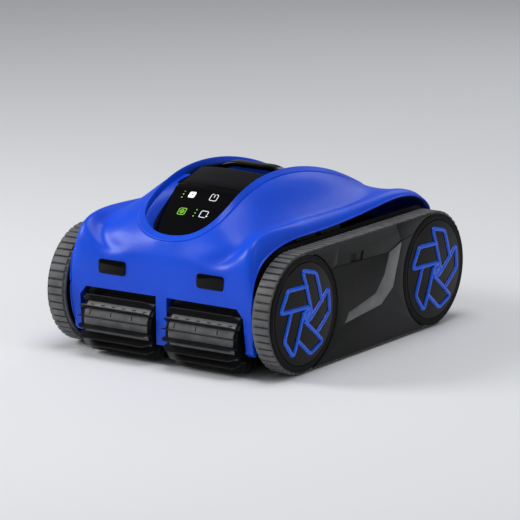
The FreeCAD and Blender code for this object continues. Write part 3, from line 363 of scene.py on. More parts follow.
# Blue hood. Each row runs from the rim of the long opening down to the outer edge:
# rim, foot of the rim bead, two rings of the hip, crease, crest of the fender, shoulder, edge.
# Rows go round from the middle of the front to the middle of the rear, as (x, y, z) from
# the axle they name.
hoodRows = [
    ("front", [(0, -45.5, 83.5), (0, -52.5, 78), (0, -55, 70.5), (0, -57.5, 62.5),
              (0, -59.5, 54.5), (0, -61, 34.5), (0, -61.5, -3.5), (0, -60, -48.5)]),
    ("front", [(9, -45.5, 84), (9, -52.5, 78.5), (11, -55, 71), (16, -57.5, 63),
              (21, -59.5, 55), (32, -61.5, 34.5), (48, -62, -3.5), (60, -61.5, -48.5)]),
    ("front", [(19, -43.5, 85), (20, -50.5, 79.5), (24, -53.5, 72.5), (32, -57, 64),
              (42, -60, 56), (62, -62, 36.5), (92, -63.5, -3.5), (131, -54, -48.5)]),
    ("front", [(29, -40, 87.5), (31, -47.5, 82), (37, -51.5, 75), (48, -56.5, 65.5),
              (62, -60, 56), (84, -62, 42.5), (112, -64, 16.5), (132.5, -64, -13.5)]),
    ("front", [(38, -35.5, 92), (41, -43, 86.5), (49, -48, 79.5), (63, -54.5, 69),
              (79, -54.5, 56), (102, -62, 59.5), (120, -64.5, 41.5), (132.5, -65, 16.5)]),
    ("front", [(45, -30.5, 97), (49, -37.5, 91.5), (58, -43.5, 84.5), (74, -51, 74),
              (91.5, -50, 60), (113, -58.5, 78.5), (126, -63, 59.5), (132.5, -62, 40.5)]),
    ("front", [(50.5, -24.5, 103), (55.5, -30.5, 97.5), (66, -37, 90), (83, -46, 79.5),
              (100.5, -45, 69.5), (119, -51, 90), (128.5, -57.5, 74.5), (132.5, -54.5, 54.5)]),
    ("front", [(54.5, -15, 110), (60, -20, 104.5), (71, -26.5, 97), (89, -35, 87),
              (106, -35, 79.5), (121, -40, 97.5), (129.5, -45.5, 83.5), (132.5, -43, 66)]),
    ("front", [(56.5, 0, 119), (62, -3, 113.5), (74, -8, 106), (92, -15, 95.5),
              (109, -19, 89), (122, -19, 100.5), (130, -25, 88.5), (132.5, -25, 74)]),
    ("front", [(56.5, 17, 128), (62, 16, 122.5), (74, 13, 114.5), (92, 9, 103),
              (110, 4.5, 92.5), (123, 7, 100.5), (130.5, -1, 90.5), (132.5, -3, 80)]),
    ("front", [(56.5, 38, 136), (62, 38, 130.5), (74, 37, 123.5), (92, 35, 106.5),
              (111, 33, 95), (123, 34, 98.5), (130.5, 31, 92.5), (132.5, 31, 83.5)]),
    ("front", [(56.5, 65, 142.5), (62, 65, 137), (74, 65, 129.5), (92, 65, 109.5),
              (112, 65, 97), (122, 65, 97), (130, 65, 90.5), (132.5, 65, 82.5)]),
    ("front", [(56.5, 101, 145.5), (62, 101, 140), (74, 101, 132), (92, 101, 110.5),
              (112, 101, 96), (121.5, 101, 96.5), (130, 101, 90.5), (132.5, 101, 83.5)]),
    ("rear", [(56.5, -149, 143.5), (62, -149, 138), (74, -149, 130), (92, -149, 108.5),
             (112, -149, 95), (121.5, -149, 97), (130, -149, 92), (132.5, -149, 85.5)]),
    ("rear", [(56.5, -109, 137), (62, -109, 131.5), (74, -109, 123.5), (92, -109, 105.5),
             (112, -109, 95), (121.5, -109, 98.5), (130, -109, 94.5), (132.5, -109, 88.5)]),
    ("rear", [(56.5, -69, 126.5), (62, -69, 121), (74, -69, 114), (92, -69, 101.5),
             (110, -69, 97), (121, -69, 101), (130, -69, 98), (132.5, -69, 92.5)]),
    ("rear", [(56.5, -36, 114), (62, -36, 109.5), (74, -36, 105), (90, -36, 100),
             (107, -36, 99.5), (120, -36, 102.5), (129.5, -36, 99.5), (132.5, -36, 95)]),
    ("rear", [(56.5, -7, 101.5), (62, -6, 97.5), (73, -5, 95.5), (88, -4, 95),
             (104, -3, 97), (119, -2, 100), (129.5, 0, 97), (132.5, 1, 92)]),
    ("rear", [(52, 11.5, 94), (56.5, 15, 90.5), (66, 17, 89), (82, 20, 88),
             (99, 22, 89), (115, 25, 90), (128, 27, 87.5), (132.5, 26, 82)]),
    ("rear", [(38, 17, 92), (42, 23, 88), (52, 28, 84), (68, 33, 80),
             (86, 38, 77.5), (104, 41.5, 76.5), (122, 44, 74), (132.5, 44, 65.5)]),
    ("rear", [(20, 18, 91.5), (22, 25, 87), (27, 32, 81), (38, 39, 73.5),
             (52, 45, 66), (70, 50, 57.5), (95, 54, 49.5), (122, 54.5, 43.5)]),
    ("rear", [(0, 18, 91.5), (0, 25.5, 87), (0, 33, 80.5), (0, 40.5, 72.5),
             (0, 47, 64), (0, 51.5, 54.5), (0, 54, 46.5), (0, 55, 41.5)]),
]
hood = {"wall": 2.6, "rimRound": 1.3, "innerDrop": 14, "innerLean": 0.4, "levels": 3,
        "grooveDepth": 0.9, "grooveWidth": 1.5,
        "rimCrease": 0.7, "footCrease": 0.95, "valleyCrease": 0.35, "beadRadius": 1.25,
        "bayInner": 7.8, "bayOuter": 119.6, "bayTop": 10.8, "bayChamfer": (9.2, 11),
        "windowX": 71.9, "windowZ": 38, "windowSize": (39, 17.5), "windowRound": 4}


def hoodPoint(axle, point):
    x, y, z = point
    return Vector((x, axleY[axle] + y, axleZ + z))


def hoodRings():
    rows = []
    for axle, points in hoodRows:
        row = [hoodPoint(axle, p) for p in points]
        inward = row[0] - row[1]
        inward.z = 0
        inward.normalize()
        top = row[0] + inward * hood["rimRound"] - Vector((0, 0, hood["rimRound"]))
        foot = top + inward * hood["innerLean"] - Vector((0, 0, hood["innerDrop"]))
        run = (row[2] - row[1]).normalized()
        sink = Vector((0, 0, 1)).cross(inward).cross(run)
        sink *= hood["grooveDepth"] * (-1 if sink.dot(inward) < 0 else 1) / sink.length
        groove = [row[1] + run * hood["grooveWidth"] / 2 + sink, row[1] + run * hood["grooveWidth"] * 1.4]
        rows.append([foot, top] + row[:2] + groove + row[2:])
    left = [[Vector((-p.x, p.y, p.z)) for p in row] for row in reversed(rows[1:-1])]
    return rows + left


def hoodSkin():
    rows = hoodRings()
    rings, count = len(rows[0]), len(rows)
    points = [p for row in rows for p in row]
    faces = [(row * rings + ring, row * rings + ring + 1, (row + 1) % count * rings + ring + 1,
              (row + 1) % count * rings + ring) for row in range(count) for ring in range(rings - 1)]
    skin = meshObject("hoodSkin", points, faces)
    creases = {2: hood["rimCrease"], 3: hood["footCrease"], 4: hood["footCrease"], 5: hood["footCrease"],
               8: hood["valleyCrease"]}
    crease = skin.data.attributes.new("crease_edge", "FLOAT", "EDGE")
    for edge in skin.data.edges:
        first, second = edge.vertices
        ring = first % rings
        front = points[first].y < frontY - 22      # the fender crease fades out over the front
        if second % rings == ring and ring in creases and not (ring == 8 and front):
            crease.data[edge.index].value = creases[ring]
    modify(skin, "SUBSURF", levels=hood["levels"], render_levels=hood["levels"])
    return settle(skin, 60)


def edgeBead(skin):                                # the rolled edge that catches the light
    work = bmesh.new()
    work.from_mesh(skin.data)
    edges = [e for e in work.edges if e.is_boundary]
    follow = {}
    for edge in edges:
        for end, other in ((0, 1), (1, 0)):
            follow.setdefault(edge.verts[end], []).append(edge.verts[other])
    start = max(follow, key=lambda v: v.co.x)
    path, before, here = [], None, start
    while here is not start or not path:
        path.append(here.co / mm)
        ahead = [v for v in follow[here] if v is not before][0]
        before, here = here, ahead
    work.free()
    high = [p.z > axleZ - 44 for p in path]
    count = len(path)
    begin = next(i for i in range(count) if high[i] and not high[i - 1]) if not all(high) else 0
    path = [path[(begin + i) % count] for i in range(count) if high[(begin + i) % count]]
    radius = hood["beadRadius"]
    ring = [(radius * math.cos(a), radius * math.sin(a)) for a in [math.pi * k / 4 for k in range(8)]]
    return settle(swept("edgeBead", path[::2], ring, lambda p: Vector((0, 0, 1)), all(high)), 60)


def hoodCutters():
    cutters = []
    inner, outer, top = hood["bayInner"], hood["bayOuter"], axleZ + hood["bayTop"]
    wide, deep = hood["bayChamfer"]
    width, height = hood["windowSize"]
    for name, side in sides:
        bay = [(inner, -20), (outer, -20), (outer, top - deep), (outer - wide, top), (inner, top)]
        cutters.append(slab("bay" + name, [(side * x, z) for x, z in bay], "y",
                            frontY - 95, frontY - 42, 0))
        x, z = side * hood["windowX"], axleZ + hood["windowZ"]
        corners = [(x - width / 2, z - height / 2), (x + width / 2, z - height / 2),
                   (x + width / 2, z + height / 2), (x - width / 2, z + height / 2)]
        cutters.append(slab("window" + name, filleted(corners, hood["windowRound"]), "y",
                            frontY - 80, frontY - 50, 0))
    return cutters


def buildHood():
    skin = hoodSkin()
    bead = edgeBead(skin)
    modify(skin, "SOLIDIFY", thickness=hood["wall"] * mm, offset=-1, use_even_offset=True)
    settle(skin, 60)
    cutters = hoodCutters()
    for cutter in cutters:
        modify(skin, "BOOLEAN", object=cutter, operation="DIFFERENCE", solver="EXACT")
    settle(skin, 32)
    for cutter in cutters:
        bpy.data.objects.remove(cutter)
    legs = []
    outline = [(-61, 24), (-62.2, -14), (-58, -42), (-53, -47), (-48, -43), (-48, 24)]
    for name, side in sides:
        inner, outer = hood["bayOuter"], hullHalf - 2
        legs.append(slab("leg" + name, [(frontY + y, axleZ + z) for y, z in outline], "x",
                         side * inner, side * outer, 1.0))
    middle = [(-58.5, 24), (-58.5, -40), (-56, -46), (-49, -46), (-48, 24)]
    legs.append(slab("legMiddle", [(frontY + y, axleZ + z) for y, z in middle], "x",
                     -hood["bayInner"] + 0.3, hood["bayInner"] - 0.3, 0.8))
    whole = settle(joined("hood_shell", [skin, bead] + legs), 32)
    return standFor(whole, paint["satinAbsBlue"], "top_shell")


buildHood()
print("hood")

# The wall inside the front of the opening, down to the glossy panel.
well = {"inset": 3.2, "lean": 7.5, "thick": 1.6, "backTo": 64.5, "rimDrop": 9}
panel = {"half": 52.5, "thick": 3, "crown": 2.6, "front": (-43, 66),
         "line": [(-33, 73.4), (4.5, 102), (26, 118.6), (39.5, 128.8), (64, 136), (89, 141.7)],
         "seam": 37.5, "iconX": 16, "iconRows": ((26, 118.6), (4.5, 102))}


def panelHeight(y, x=0):                           # top of the panel, from the front axle
    line = [panel["front"]] + panel["line"]
    for (y0, z0), (y1, z1) in zip(line[:-1], line[1:]):
        if y <= y1 or (y1, z1) == line[-1]:
            return z0 + (z1 - z0) * (y - y0) / (y1 - y0) - panel["crown"] * (x / panel["half"]) ** 2


def buildWell():
    back = frontY + well["backTo"]
    right = []
    for axle, points in hoodRows:
        rim, foot = hoodPoint(axle, points[0]), hoodPoint(axle, points[1])
        inward = rim - foot
        inward.z = 0
        right.append((rim, inward.normalized()))
        if rim.y > back:
            before, rim = right[-2][0], right[-1][0]
            right[-1] = (before.lerp(rim, (back - before.y) / (rim.y - before.y)), right[-1][1])
            break
    path = [(Vector((-p.x, p.y, p.z)), Vector((-n.x, n.y, 0))) for p, n in reversed(right[1:])] + right
    points, faces = [], []
    for rim, inward in path:
        high = rim + inward * well["inset"]
        low = high + inward * well["lean"]
        floor = max(axleZ + panelHeight(low.y - frontY, low.x) + 0.2, axleZ + 60)
        for spot, z in ((low, floor), (high, rim.z - well["rimDrop"])):
            points.append((spot.x, spot.y, z))
        for spot, z in ((high, rim.z - well["rimDrop"]), (low, floor)):
            outer = spot - inward * well["thick"]
            points.append((outer.x, outer.y, z))
    for index in range(len(path) - 1):
        here, there = index * 4, index * 4 + 4
        faces += [(here + i, here + (i + 1) % 4, there + (i + 1) % 4, there + i) for i in range(4)]
    faces += [(0, 1, 2, 3), tuple(len(points) - 1 - i for i in range(4))]
    wall = cleaned(meshObject("hood_well_wall", points, faces))
    return addTo(settle(wall, 50), paint["satinAbsBlue"], "chassis")


buildWell()
print("well wall")


# Glossy control panel: one bent plate with a fine seam, and plain generic icons.
def smoothLine(corners, steps=8):                  # a Catmull-Rom line through (y, z) corners
    points = []
    for index in range(len(corners) - 1):
        four = [Vector(corners[max(min(k, len(corners) - 1), 0)]) for k in range(index - 1, index + 3)]
        for step in range(steps):
            t = step / steps
            points.append(0.5 * (2 * four[1] + (four[2] - four[0]) * t
                                 + (2 * four[0] - 5 * four[1] + 4 * four[2] - four[3]) * t * t
                                 + (3 * four[1] - four[0] - 3 * four[2] + four[3]) * t ** 3))
    return points + [Vector(corners[-1])]


def bentPlate(name, line, thick, half, bevel):     # crowned across, with the line's slope along
    across, points, faces = 12, [], []
    for lift in (0, -thick):
        for p in line:
            for k in range(across + 1):
                x = half * (2 * k / across - 1)
                sink = panel["crown"] * (x / panel["half"]) ** 2
                points.append((x, frontY + p.x, axleZ + p.y + lift - sink))
    rows, columns = len(line), across + 1
    layer = rows * columns
    for r in range(rows - 1):
        for c in range(across):
            a = r * columns + c
            faces.append((a, a + 1, a + columns + 1, a + columns))
            faces.append((layer + a, layer + a + columns, layer + a + columns + 1, layer + a + 1))
    rim = [c for c in range(across)] + [r * columns + across for r in range(rows - 1)]
    rim += [layer - 1 - c for c in range(across)] + [(rows - 1 - r) * columns for r in range(rows - 1)]
    for index, a in enumerate(rim):
        b = rim[(index + 1) % len(rim)]
        faces.append((a, a + layer, b + layer, b))
    thing = cleaned(meshObject(name, points, faces))
    if bevel:
        modify(thing, "BEVEL", width=bevel * mm, segments=2, limit_method="ANGLE",
               angle_limit=math.radians(40))
    return settle(thing)


def buildPanel():
    line = smoothLine([panel["front"]] + panel["line"])
    lower = [p for p in line if p.x < panel["seam"] - 0.2]
    upper = [p for p in line if p.x > panel["seam"] + 0.2]
    half = panel["half"]
    plates = [bentPlate("panelLow", lower, panel["thick"], half, 0.35),
              bentPlate("panelHigh", upper, panel["thick"], half - 1, 0.35)]
    under = [Vector((p.x, p.y - 0.7)) for p in line if abs(p.x - panel["seam"]) < 9]
    plates.append(bentPlate("panelSeam", under, panel["thick"] - 0.9, half - 1.5, 0))
    return standFor(joined("control_panel_glass", plates), paint["polishedAbsBlack"], "control_panel")


buildPanel()


def onPanel(x, row, u, v):                         # a spot u across and v up the slope from an icon's middle
    y, z = row
    ahead, back = panelHeight(y + 3), panelHeight(y - 3)
    slope = Vector((0, 6, ahead - back)).normalized()
    sink = Vector((0, 0, panel["crown"] * ((x + u) / panel["half"]) ** 2))
    normal = Vector((2 * panel["crown"] * (x + u) / panel["half"] ** 2, -slope.z, slope.y)).normalized()
    return Vector((x + u, frontY + y, axleZ + z)) + slope * v - sink + normal * 0.12, normal


def iconLine(name, x, row, path, width, closed):
    spots = [onPanel(x, row, u, v) for u, v in path]
    section = [(-width / 2, -0.3), (width / 2, -0.3), (width / 2, 0.12), (-width / 2, 0.12)]
    return swept(name, [spot for spot, _ in spots], section, lambda p: spots[0][1], closed)


def iconTile(name, x, row, outline):
    spots = [onPanel(x, row, u, v) for u, v in outline]
    top = [spot + normal * 0.1 for spot, normal in spots]
    low = [spot - normal * 0.35 for spot, normal in spots]
    count = len(top)
    faces = [(i, (i + 1) % count, (i + 1) % count + count, i + count) for i in range(count)]
    faces += [tuple(range(count)), tuple(range(2 * count - 1, count - 1, -1))]
    return cleaned(meshObject(name, top + low, faces))


def squareLine(size, radius):                      # a rounded square of evenly spaced points
    corners = filleted([(-size, -size), (size, -size), (size, size), (-size, size)], radius, 4)
    points = []
    for index, spot in enumerate(corners):
        ahead = corners[(index + 1) % len(corners)]
        parts = max(1, round((ahead - spot).length / 0.5))
        points += [spot.lerp(ahead, k / parts) for k in range(parts)]
    return points


def openLine(points, middle, reach):               # the same line with a gap round a place on it
    near = [(p - Vector(middle)).length < reach for p in points]
    start = next(k for k in range(len(points)) if near[k - 1] and not near[k])
    turned = points[start:] + points[:start]
    return [p for p in turned if (p - Vector(middle)).length >= reach]


def disc(u, v, radius):
    return [(u + radius * math.cos(math.pi * k / 6), v + radius * math.sin(math.pi * k / 6))
            for k in range(12)]


def buildIcons():
    x, (high, low) = panel["iconX"], panel["iconRows"]
    white, green = [], []
    # upper left: battery tile, a filled square with a dark dot left open in it
    white.append(iconLine("tileEdge", -x, high, squareLine(3.9, 1.4), 1.6, True))
    white.append(iconTile("tileLeft", -x, high, [(-3.6, -3.6), (-0.9, -3.6), (-0.9, 3.6), (-3.6, 3.6)]))
    white.append(iconTile("tileRight", -x, high, [(0.9, -3.6), (3.6, -3.6), (3.6, 3.6), (0.9, 3.6)]))
    white.append(iconTile("tileTop", -x, high, [(-1.1, 1.1), (1.1, 1.1), (1.1, 3.6), (-1.1, 3.6)]))
    white.append(iconTile("tileLow", -x, high, [(-1.1, -3.6), (1.1, -3.6), (1.1, -1.1), (-1.1, -1.1)]))
    # upper right: power sign, an open rounded square with a bar
    white.append(iconLine("powerRing", x, high, openLine(squareLine(4.9, 2.0), (0, 4.9), 1.5), 0.8, False))
    white.append(iconLine("powerBar", x, high, [Vector((0, 0.2)), Vector((0, 4.7))], 0.8, False))
    # lower left: a round target inside a rounded square
    green.append(iconLine("targetFrame", -x, low, squareLine(5.0, 1.9), 0.8, True))
    green.append(iconLine("targetRing", -x, low, disc(0, 0, 2.6), 0.9, True))
    green.append(iconTile("targetDot", -x, low, disc(0, 0, 0.9)))
    # lower right: a square open at one corner, for the cleaning route
    route = openLine(squareLine(5.0, 1.9), (5.0, -2.5), 2.3)
    white.append(iconLine("routeRing", x, low, route, 0.8, False))
    white.append(iconTile("routeEnd", x, low, disc(5.0, -2.3, 1.15)))
    for place, row in ((-x, high), (x, low)):
        for step in (-1, 0, 1):
            green.append(iconTile("levelDot", place, row, disc(-12.7, step * 5.0, 0.85)))
    addTo(settle(joined("icons_white", white)), paint["iconWhite"], "chassis")
    addTo(settle(joined("icons_green", green)), paint["iconGreen"], "chassis")


buildIcons()
print("control panel")


# Softened copies of CAD parts whose shape is right: merged, flats joined, edges rounded.
def softCopy(name, node, width, cutters=(), smooth=32):
    thing = bpy.data.objects.new(name, frame["nodes"][node].data.copy())
    scene.collection.objects.link(thing)
    work = bmesh.new()
    work.from_mesh(thing.data)
    bmesh.ops.remove_doubles(work, verts=work.verts, dist=0.01 * mm)
    bmesh.ops.dissolve_limit(work, angle_limit=math.radians(0.8), verts=work.verts, edges=work.edges)
    work.to_mesh(thing.data)
    work.free()
    for cutter in cutters:
        modify(thing, "BOOLEAN", object=cutter, operation="DIFFERENCE", solver="EXACT")
    modify(thing, "BEVEL", width=width * mm, segments=2, limit_method="ANGLE",
           angle_limit=math.radians(38))
    settle(thing, smooth)
    for cutter in cutters:
        bpy.data.objects.remove(cutter)
    return thing


def boxAround(name, low, high):
    outline = [(low[0], low[1]), (high[0], low[1]), (high[0], high[1]), (low[0], high[1])]
    return slab(name, outline, "z", low[2], high[2], 0)


def buildSoftCopies():
    liner = boxAround("linerFront", (-60, frontY - 60, axleZ + 70), (60, frontY + 65, axleZ + 180))
    standFor(softCopy("deck_and_liner", "top_deck", 0.4, [liner]), paint["mouldedHullBlack"], "top_deck")
    standFor(softCopy("lid_cover", "filter_lid", 1.2), paint["satinAbsBlue"], "filter_lid")
    standFor(softCopy("hull_tub", "lower_hull", 0.8), paint["mouldedHullBlack"], "lower_hull")
    standFor(softCopy("outlet_guard", "outlet_grille", 0.4), paint["mouldedHullBlack"], "outlet_grille")
    standFor(softCopy("charging_socket", "charging_port", 0.3), paint["satinPanelBlack"], "charging_port")
    for name, _ in sides:
        node = "sensor_window_" + name
        standFor(softCopy("window_lens_" + name, node, 0.8), paint["polishedAbsBlack"], node)


buildSoftCopies()
print("hull, deck, lid and windows")


# What stands in rows round a loop: tread ridges round the belt, blades round a roller.
def rowsTree():
    tree = bpy.data.node_groups.new("rowsRoundLoop", "GeometryNodeTree")
    wanted = (("Geometry", "INPUT", "NodeSocketGeometry"), ("Row Shape", "INPUT", "NodeSocketObject"),
              ("Row Count", "INPUT", "NodeSocketInt"), ("Finish", "INPUT", "NodeSocketMaterial"),
              ("Geometry", "OUTPUT", "NodeSocketGeometry"))
    for name, way, kind in wanted:
        tree.interface.new_socket(name=name, in_out=way, socket_type=kind)
    given = addNode(tree, "NodeGroupInput")
    loop = addNode(tree, "GeometryNodeMeshToCurve", {}, {"Mesh": given.outputs["Geometry"]})
    spots = addNode(tree, "GeometryNodeResampleCurve", {},
                    {"Curve": loop.outputs["Curve"], "Count": given.outputs["Row Count"]})
    shape = addNode(tree, "GeometryNodeObjectInfo", {}, {"Object": given.outputs["Row Shape"]})
    along = addNode(tree, "GeometryNodeInputTangent")
    turn = addNode(tree, "FunctionNodeAlignRotationToVector", {"axis": "Y", "pivot_axis": "X"},
                   {"Vector": along.outputs["Tangent"]})
    rows = addNode(tree, "GeometryNodeInstanceOnPoints", {},
                   {"Points": spots.outputs["Curve"], "Instance": shape.outputs["Geometry"],
                    "Rotation": turn.outputs["Rotation"]})
    solid = addNode(tree, "GeometryNodeRealizeInstances", {}, {"Geometry": rows.outputs["Instances"]})
    painted = addNode(tree, "GeometryNodeSetMaterial", {},
                      {"Geometry": solid.outputs["Geometry"], "Material": given.outputs["Finish"]})
    addNode(tree, "NodeGroupOutput", {}, {"Geometry": painted.outputs["Geometry"]})
    return tree


rows = rowsTree()


def rowsRound(name, loop, shape, count, finish):   # loop: closed points, the top run going rearwards
    edges = [(i, (i + 1) % len(loop)) for i in range(len(loop))]
    mesh = bpy.data.meshes.new(name)
    mesh.from_pydata([p * mm for p in loop], edges, [])
    thing = bpy.data.objects.new(name, mesh)
    scene.collection.objects.link(thing)
    modifier = thing.modifiers.new("Rows", "NODES")
    modifier.node_group = rows
    settings = {"Row Shape": shape, "Row Count": count, "Finish": finish}
    for socket in rows.interface.items_tree:
        if socket.in_out == "INPUT" and socket.name in settings:
            modifier[socket.identifier] = settings[socket.name]
    settle(thing, 32)
    bpy.data.objects.remove(shape)
    return thing


# Track belts: a smooth band with a row of ridges across it.
belt = {"ridgeHeight": 2.9, "thick": 3.0, "ridgeCount": 110, "ridgeFoot": 7.8, "ridgeTop": 6.8,
        "shoulder": 2.4, "arcSteps": 48}


def loopRound(x, radius):                          # over the top rearwards, and back below
    steps, points = belt["arcSteps"], []
    for middle, start in ((rearY, math.pi / 2), (frontY, -math.pi / 2)):
        for step in range(steps + 1):
            angle = start - math.pi * step / steps
            points.append(Vector((x, middle + radius * math.cos(angle), axleZ + radius * math.sin(angle))))
    return points


def buildBelt(name, side):
    inner, outer = lowHigh("track_belt_right", 0)
    middle, half = side * (inner + outer) / 2, (outer - inner) / 2
    base = axleZ - belt["ridgeHeight"]
    foot, top, rise = belt["ridgeFoot"] / 2, belt["ridgeTop"] / 2, belt["ridgeHeight"]
    ridge = [(-foot, -0.4), (foot, -0.4), (foot, 0.1), (top, rise), (-top, rise), (-foot, 0.1)]
    low, high = sorted((-side * (half - belt["shoulder"]), side * (half - 0.1)))
    shape = slab("ridgeShape", ridge, "x", low, high, 0.35, 2)
    ridges = rowsRound("ridges", loopRound(middle, base), shape, belt["ridgeCount"],
                       paint["treadRubberGrey"])
    thick = belt["thick"]
    section = [(-half, -thick), (half, -thick), (half, -0.4), (half - 0.4, 0), (-half + 0.4, 0),
               (-half, -0.4)]

    def outward(spot):
        y = min(max(spot.y, frontY), rearY)
        return (spot - Vector((spot.x, y, axleZ))).normalized()
    band = settle(swept("band", loopRound(middle, base), section, outward))
    whole = joined("tread_belt_" + name, [band, ridges])
    whole.data.shade_smooth()
    whole.data.set_sharp_from_angle(angle=math.radians(32))
    return standFor(whole, paint["treadRubberGrey"], "track_belt_" + name)


for name, side in sides:
    buildBelt(name, side)
print("belts")

# Wheels: ring with a fine step, glossy domed cap, five-blade trim.
wheel = {"flangeDrop": 3.2, "flangeThick": 2.2, "rimOuter": 67.1, "rimInner": 61.1, "boss": 9,
         "domeRadius": 61.7, "domeRise": 3.6, "trimRise": 2.2, "ribWidth": 5.4, "hubRadius": 9.5,
         "blade": [(9.0, 1.1), (-6.7, 53.4), (21.6, 46.4), (32.6, 9.0)], "blades": 5}


def domeHeight(radius):
    return panelOut + wheel["domeRise"] * (1 - (radius / wheel["domeRadius"]) ** 2)


def buildWheel(place, name, side):
    y = axleY[place]
    face, flange = panelOut, axleZ - wheel["flangeDrop"]
    back = face - wheel["flangeThick"]
    start = lowHigh("front_wheel_right", 0)[0]
    rim, inside, seat = wheel["rimOuter"], wheel["rimInner"], wheel["domeRadius"] + 0.5
    ring = [(start, inside), (start, rim), (back, rim), (back, flange - 0.5), (back + 0.5, flange),
            (face - 0.6, flange), (face, flange - 0.6), (face, flange - 1.7), (face - 0.35, flange - 2.0),
            (face - 0.35, flange - 2.6), (face, flange - 2.9), (face, seat + 0.5), (face - 0.5, seat),
            (back, seat), (back, wheel["boss"]), (back - 6, wheel["boss"]), (back - 6, inside)]
    flip = [(side * x, r) for x, r in ring]
    standFor(turned("wheel_%s_%s" % (place, name), flip, y, axleZ, 128), paint["mouldedHullBlack"],
             "%s_wheel_%s" % (place, name))
    reach = wheel["domeRadius"]
    cap = [(back + 0.1, 0), (back + 0.1, reach), (face - 0.1, reach), (face + 0.15, reach - 0.3)]
    cap += [(domeHeight(reach * (1 - k / 14)), reach * (1 - k / 14)) for k in range(1, 15)]
    flip = [(side * x, r) for x, r in cap]
    standFor(turned("hub_dome_%s_%s" % (place, name), flip, y, axleZ, 128), paint["polishedAbsBlack"],
             "%s_hub_cap_%s" % (place, name))

    half, rise = wheel["ribWidth"] / 2, wheel["trimRise"]
    section = [(-half, -1.0), (-half, 0.2), (-half * 0.72, rise * 0.8), (-half * 0.3, rise),
               (half * 0.3, rise), (half * 0.72, rise * 0.8), (half, 0.2), (half, -1.0)]
    ribs = []
    for turn in range(wheel["blades"]):
        angle = 2 * math.pi * turn / wheel["blades"]
        inner, tip, shoulder, heel = [Vector(p) for p in wheel["blade"]]
        route = bentLine([inner, tip, shoulder, heel], (3.5, 9.0))
        path = []
        for spot in route:
            u = spot.x * math.cos(angle) - spot.y * math.sin(angle)
            v = spot.x * math.sin(angle) + spot.y * math.cos(angle)
            path.append(Vector((side * domeHeight(spot.length), y + u, axleZ + v)))
        ribs.append(settle(swept("rib", path, section, lambda p: Vector((side, 0, 0)), False), 50))
    hubReach = wheel["hubRadius"]
    crown = domeHeight(0)
    hub = [(crown - 1.2, 0), (crown - 1.2, hubReach), (crown + rise - 0.4, hubReach),
           (crown + rise, hubReach - 0.6), (crown + rise, hubReach - 2.4),
           (crown + rise - 0.6, hubReach - 3.0),
           (crown + rise - 0.6, 4.6), (crown + rise - 0.1, 4.0), (crown + rise - 0.1, 0)]
    ribs.append(turned("hub", [(side * x, r) for x, r in hub], y, axleZ, 48))
    standFor(settle(joined("fan_trim_%s_%s" % (place, name), ribs), 50), paint["satinAbsTrimBlue"],
             "%s_fan_trim_%s" % (place, name))


def bentLine(corners, radii, spacing=3.0):         # an open line with its inner corners rounded
    points = [corners[0]]
    for index, radius in zip(range(1, len(corners) - 1), radii):
        middle = corners[index]
        back, ahead = corners[index - 1] - middle, corners[index + 1] - middle
        cut = min(radius / math.tan(back.angle(ahead) / 2), back.length * 0.45, ahead.length * 0.45)
        first, last = middle + back.normalized() * cut, middle + ahead.normalized() * cut
        for step in range(8):
            t = step / 7
            points.append(first * (1 - t) ** 2 + middle * 2 * t * (1 - t) + last * t ** 2)
    points.append(corners[-1])
    even = [points[0]]
    for before, after in zip(points[:-1], points[1:]):
        parts = max(1, round((after - before).length / spacing))
        even += [before.lerp(after, (k + 1) / parts) for k in range(parts)]
    return even


for place in ("front", "rear"):
    for name, side in sides:
        buildWheel(place, name, side)
print("wheels")

# Side panels: a thin plate with raised facets, a dark recess, a slot with a dark backing of painted shade,
# and the grey inlay, its light grey a painted highlight. Corners are (y, z) from the middle of the wheelbase
# at axle height.
sidePlate = {"gap": 1.6, "low": -69.4, "high": 71.6, "baseThick": 1.5, "arcSteps": 22,
             "recessLine": [(-81, 44.6), (41, 40.6), (70.6, 50.2)],
             "leftFacet": [(-70.6, 71.6), (-75, 46.4), (-81, 44.6)],
             "rightFacet": [(70.6, 50.2), (58.8, 71.6)],
             "slot": [(-44, 53.6), (-15.6, 53.6), (-19, 42.6), (-45, 42.6)],
             "slotShadeBacking": [(-43.6, 53.2), (-30, 53.2), (-30, 43.0), (-44.6, 43.0)],
             "inlay": [(41.2, 40.6), (70.6, 49.4), (62, 24.6), (51, -5), (25, -21.2), (-57.4, -29.2),
                       (-48.5, -16.8), (10.3, -5), (31, 15.6)]}


def wheelArc(place, low, high):                    # the panel's edge round a wheel, upwards
    radius = axleZ - wheel["flangeDrop"] + sidePlate["gap"]
    side = 1 if place == "front" else -1
    points = []
    for step in range(sidePlate["arcSteps"] + 1):
        a0, a1 = math.asin(low / radius), math.asin(min(high / radius, 0.9995))
        angle = a0 + (a1 - a0) * step / sidePlate["arcSteps"]
        points.append((axleY[place] + side * radius * math.cos(angle) - midY, radius * math.sin(angle)))
    return points


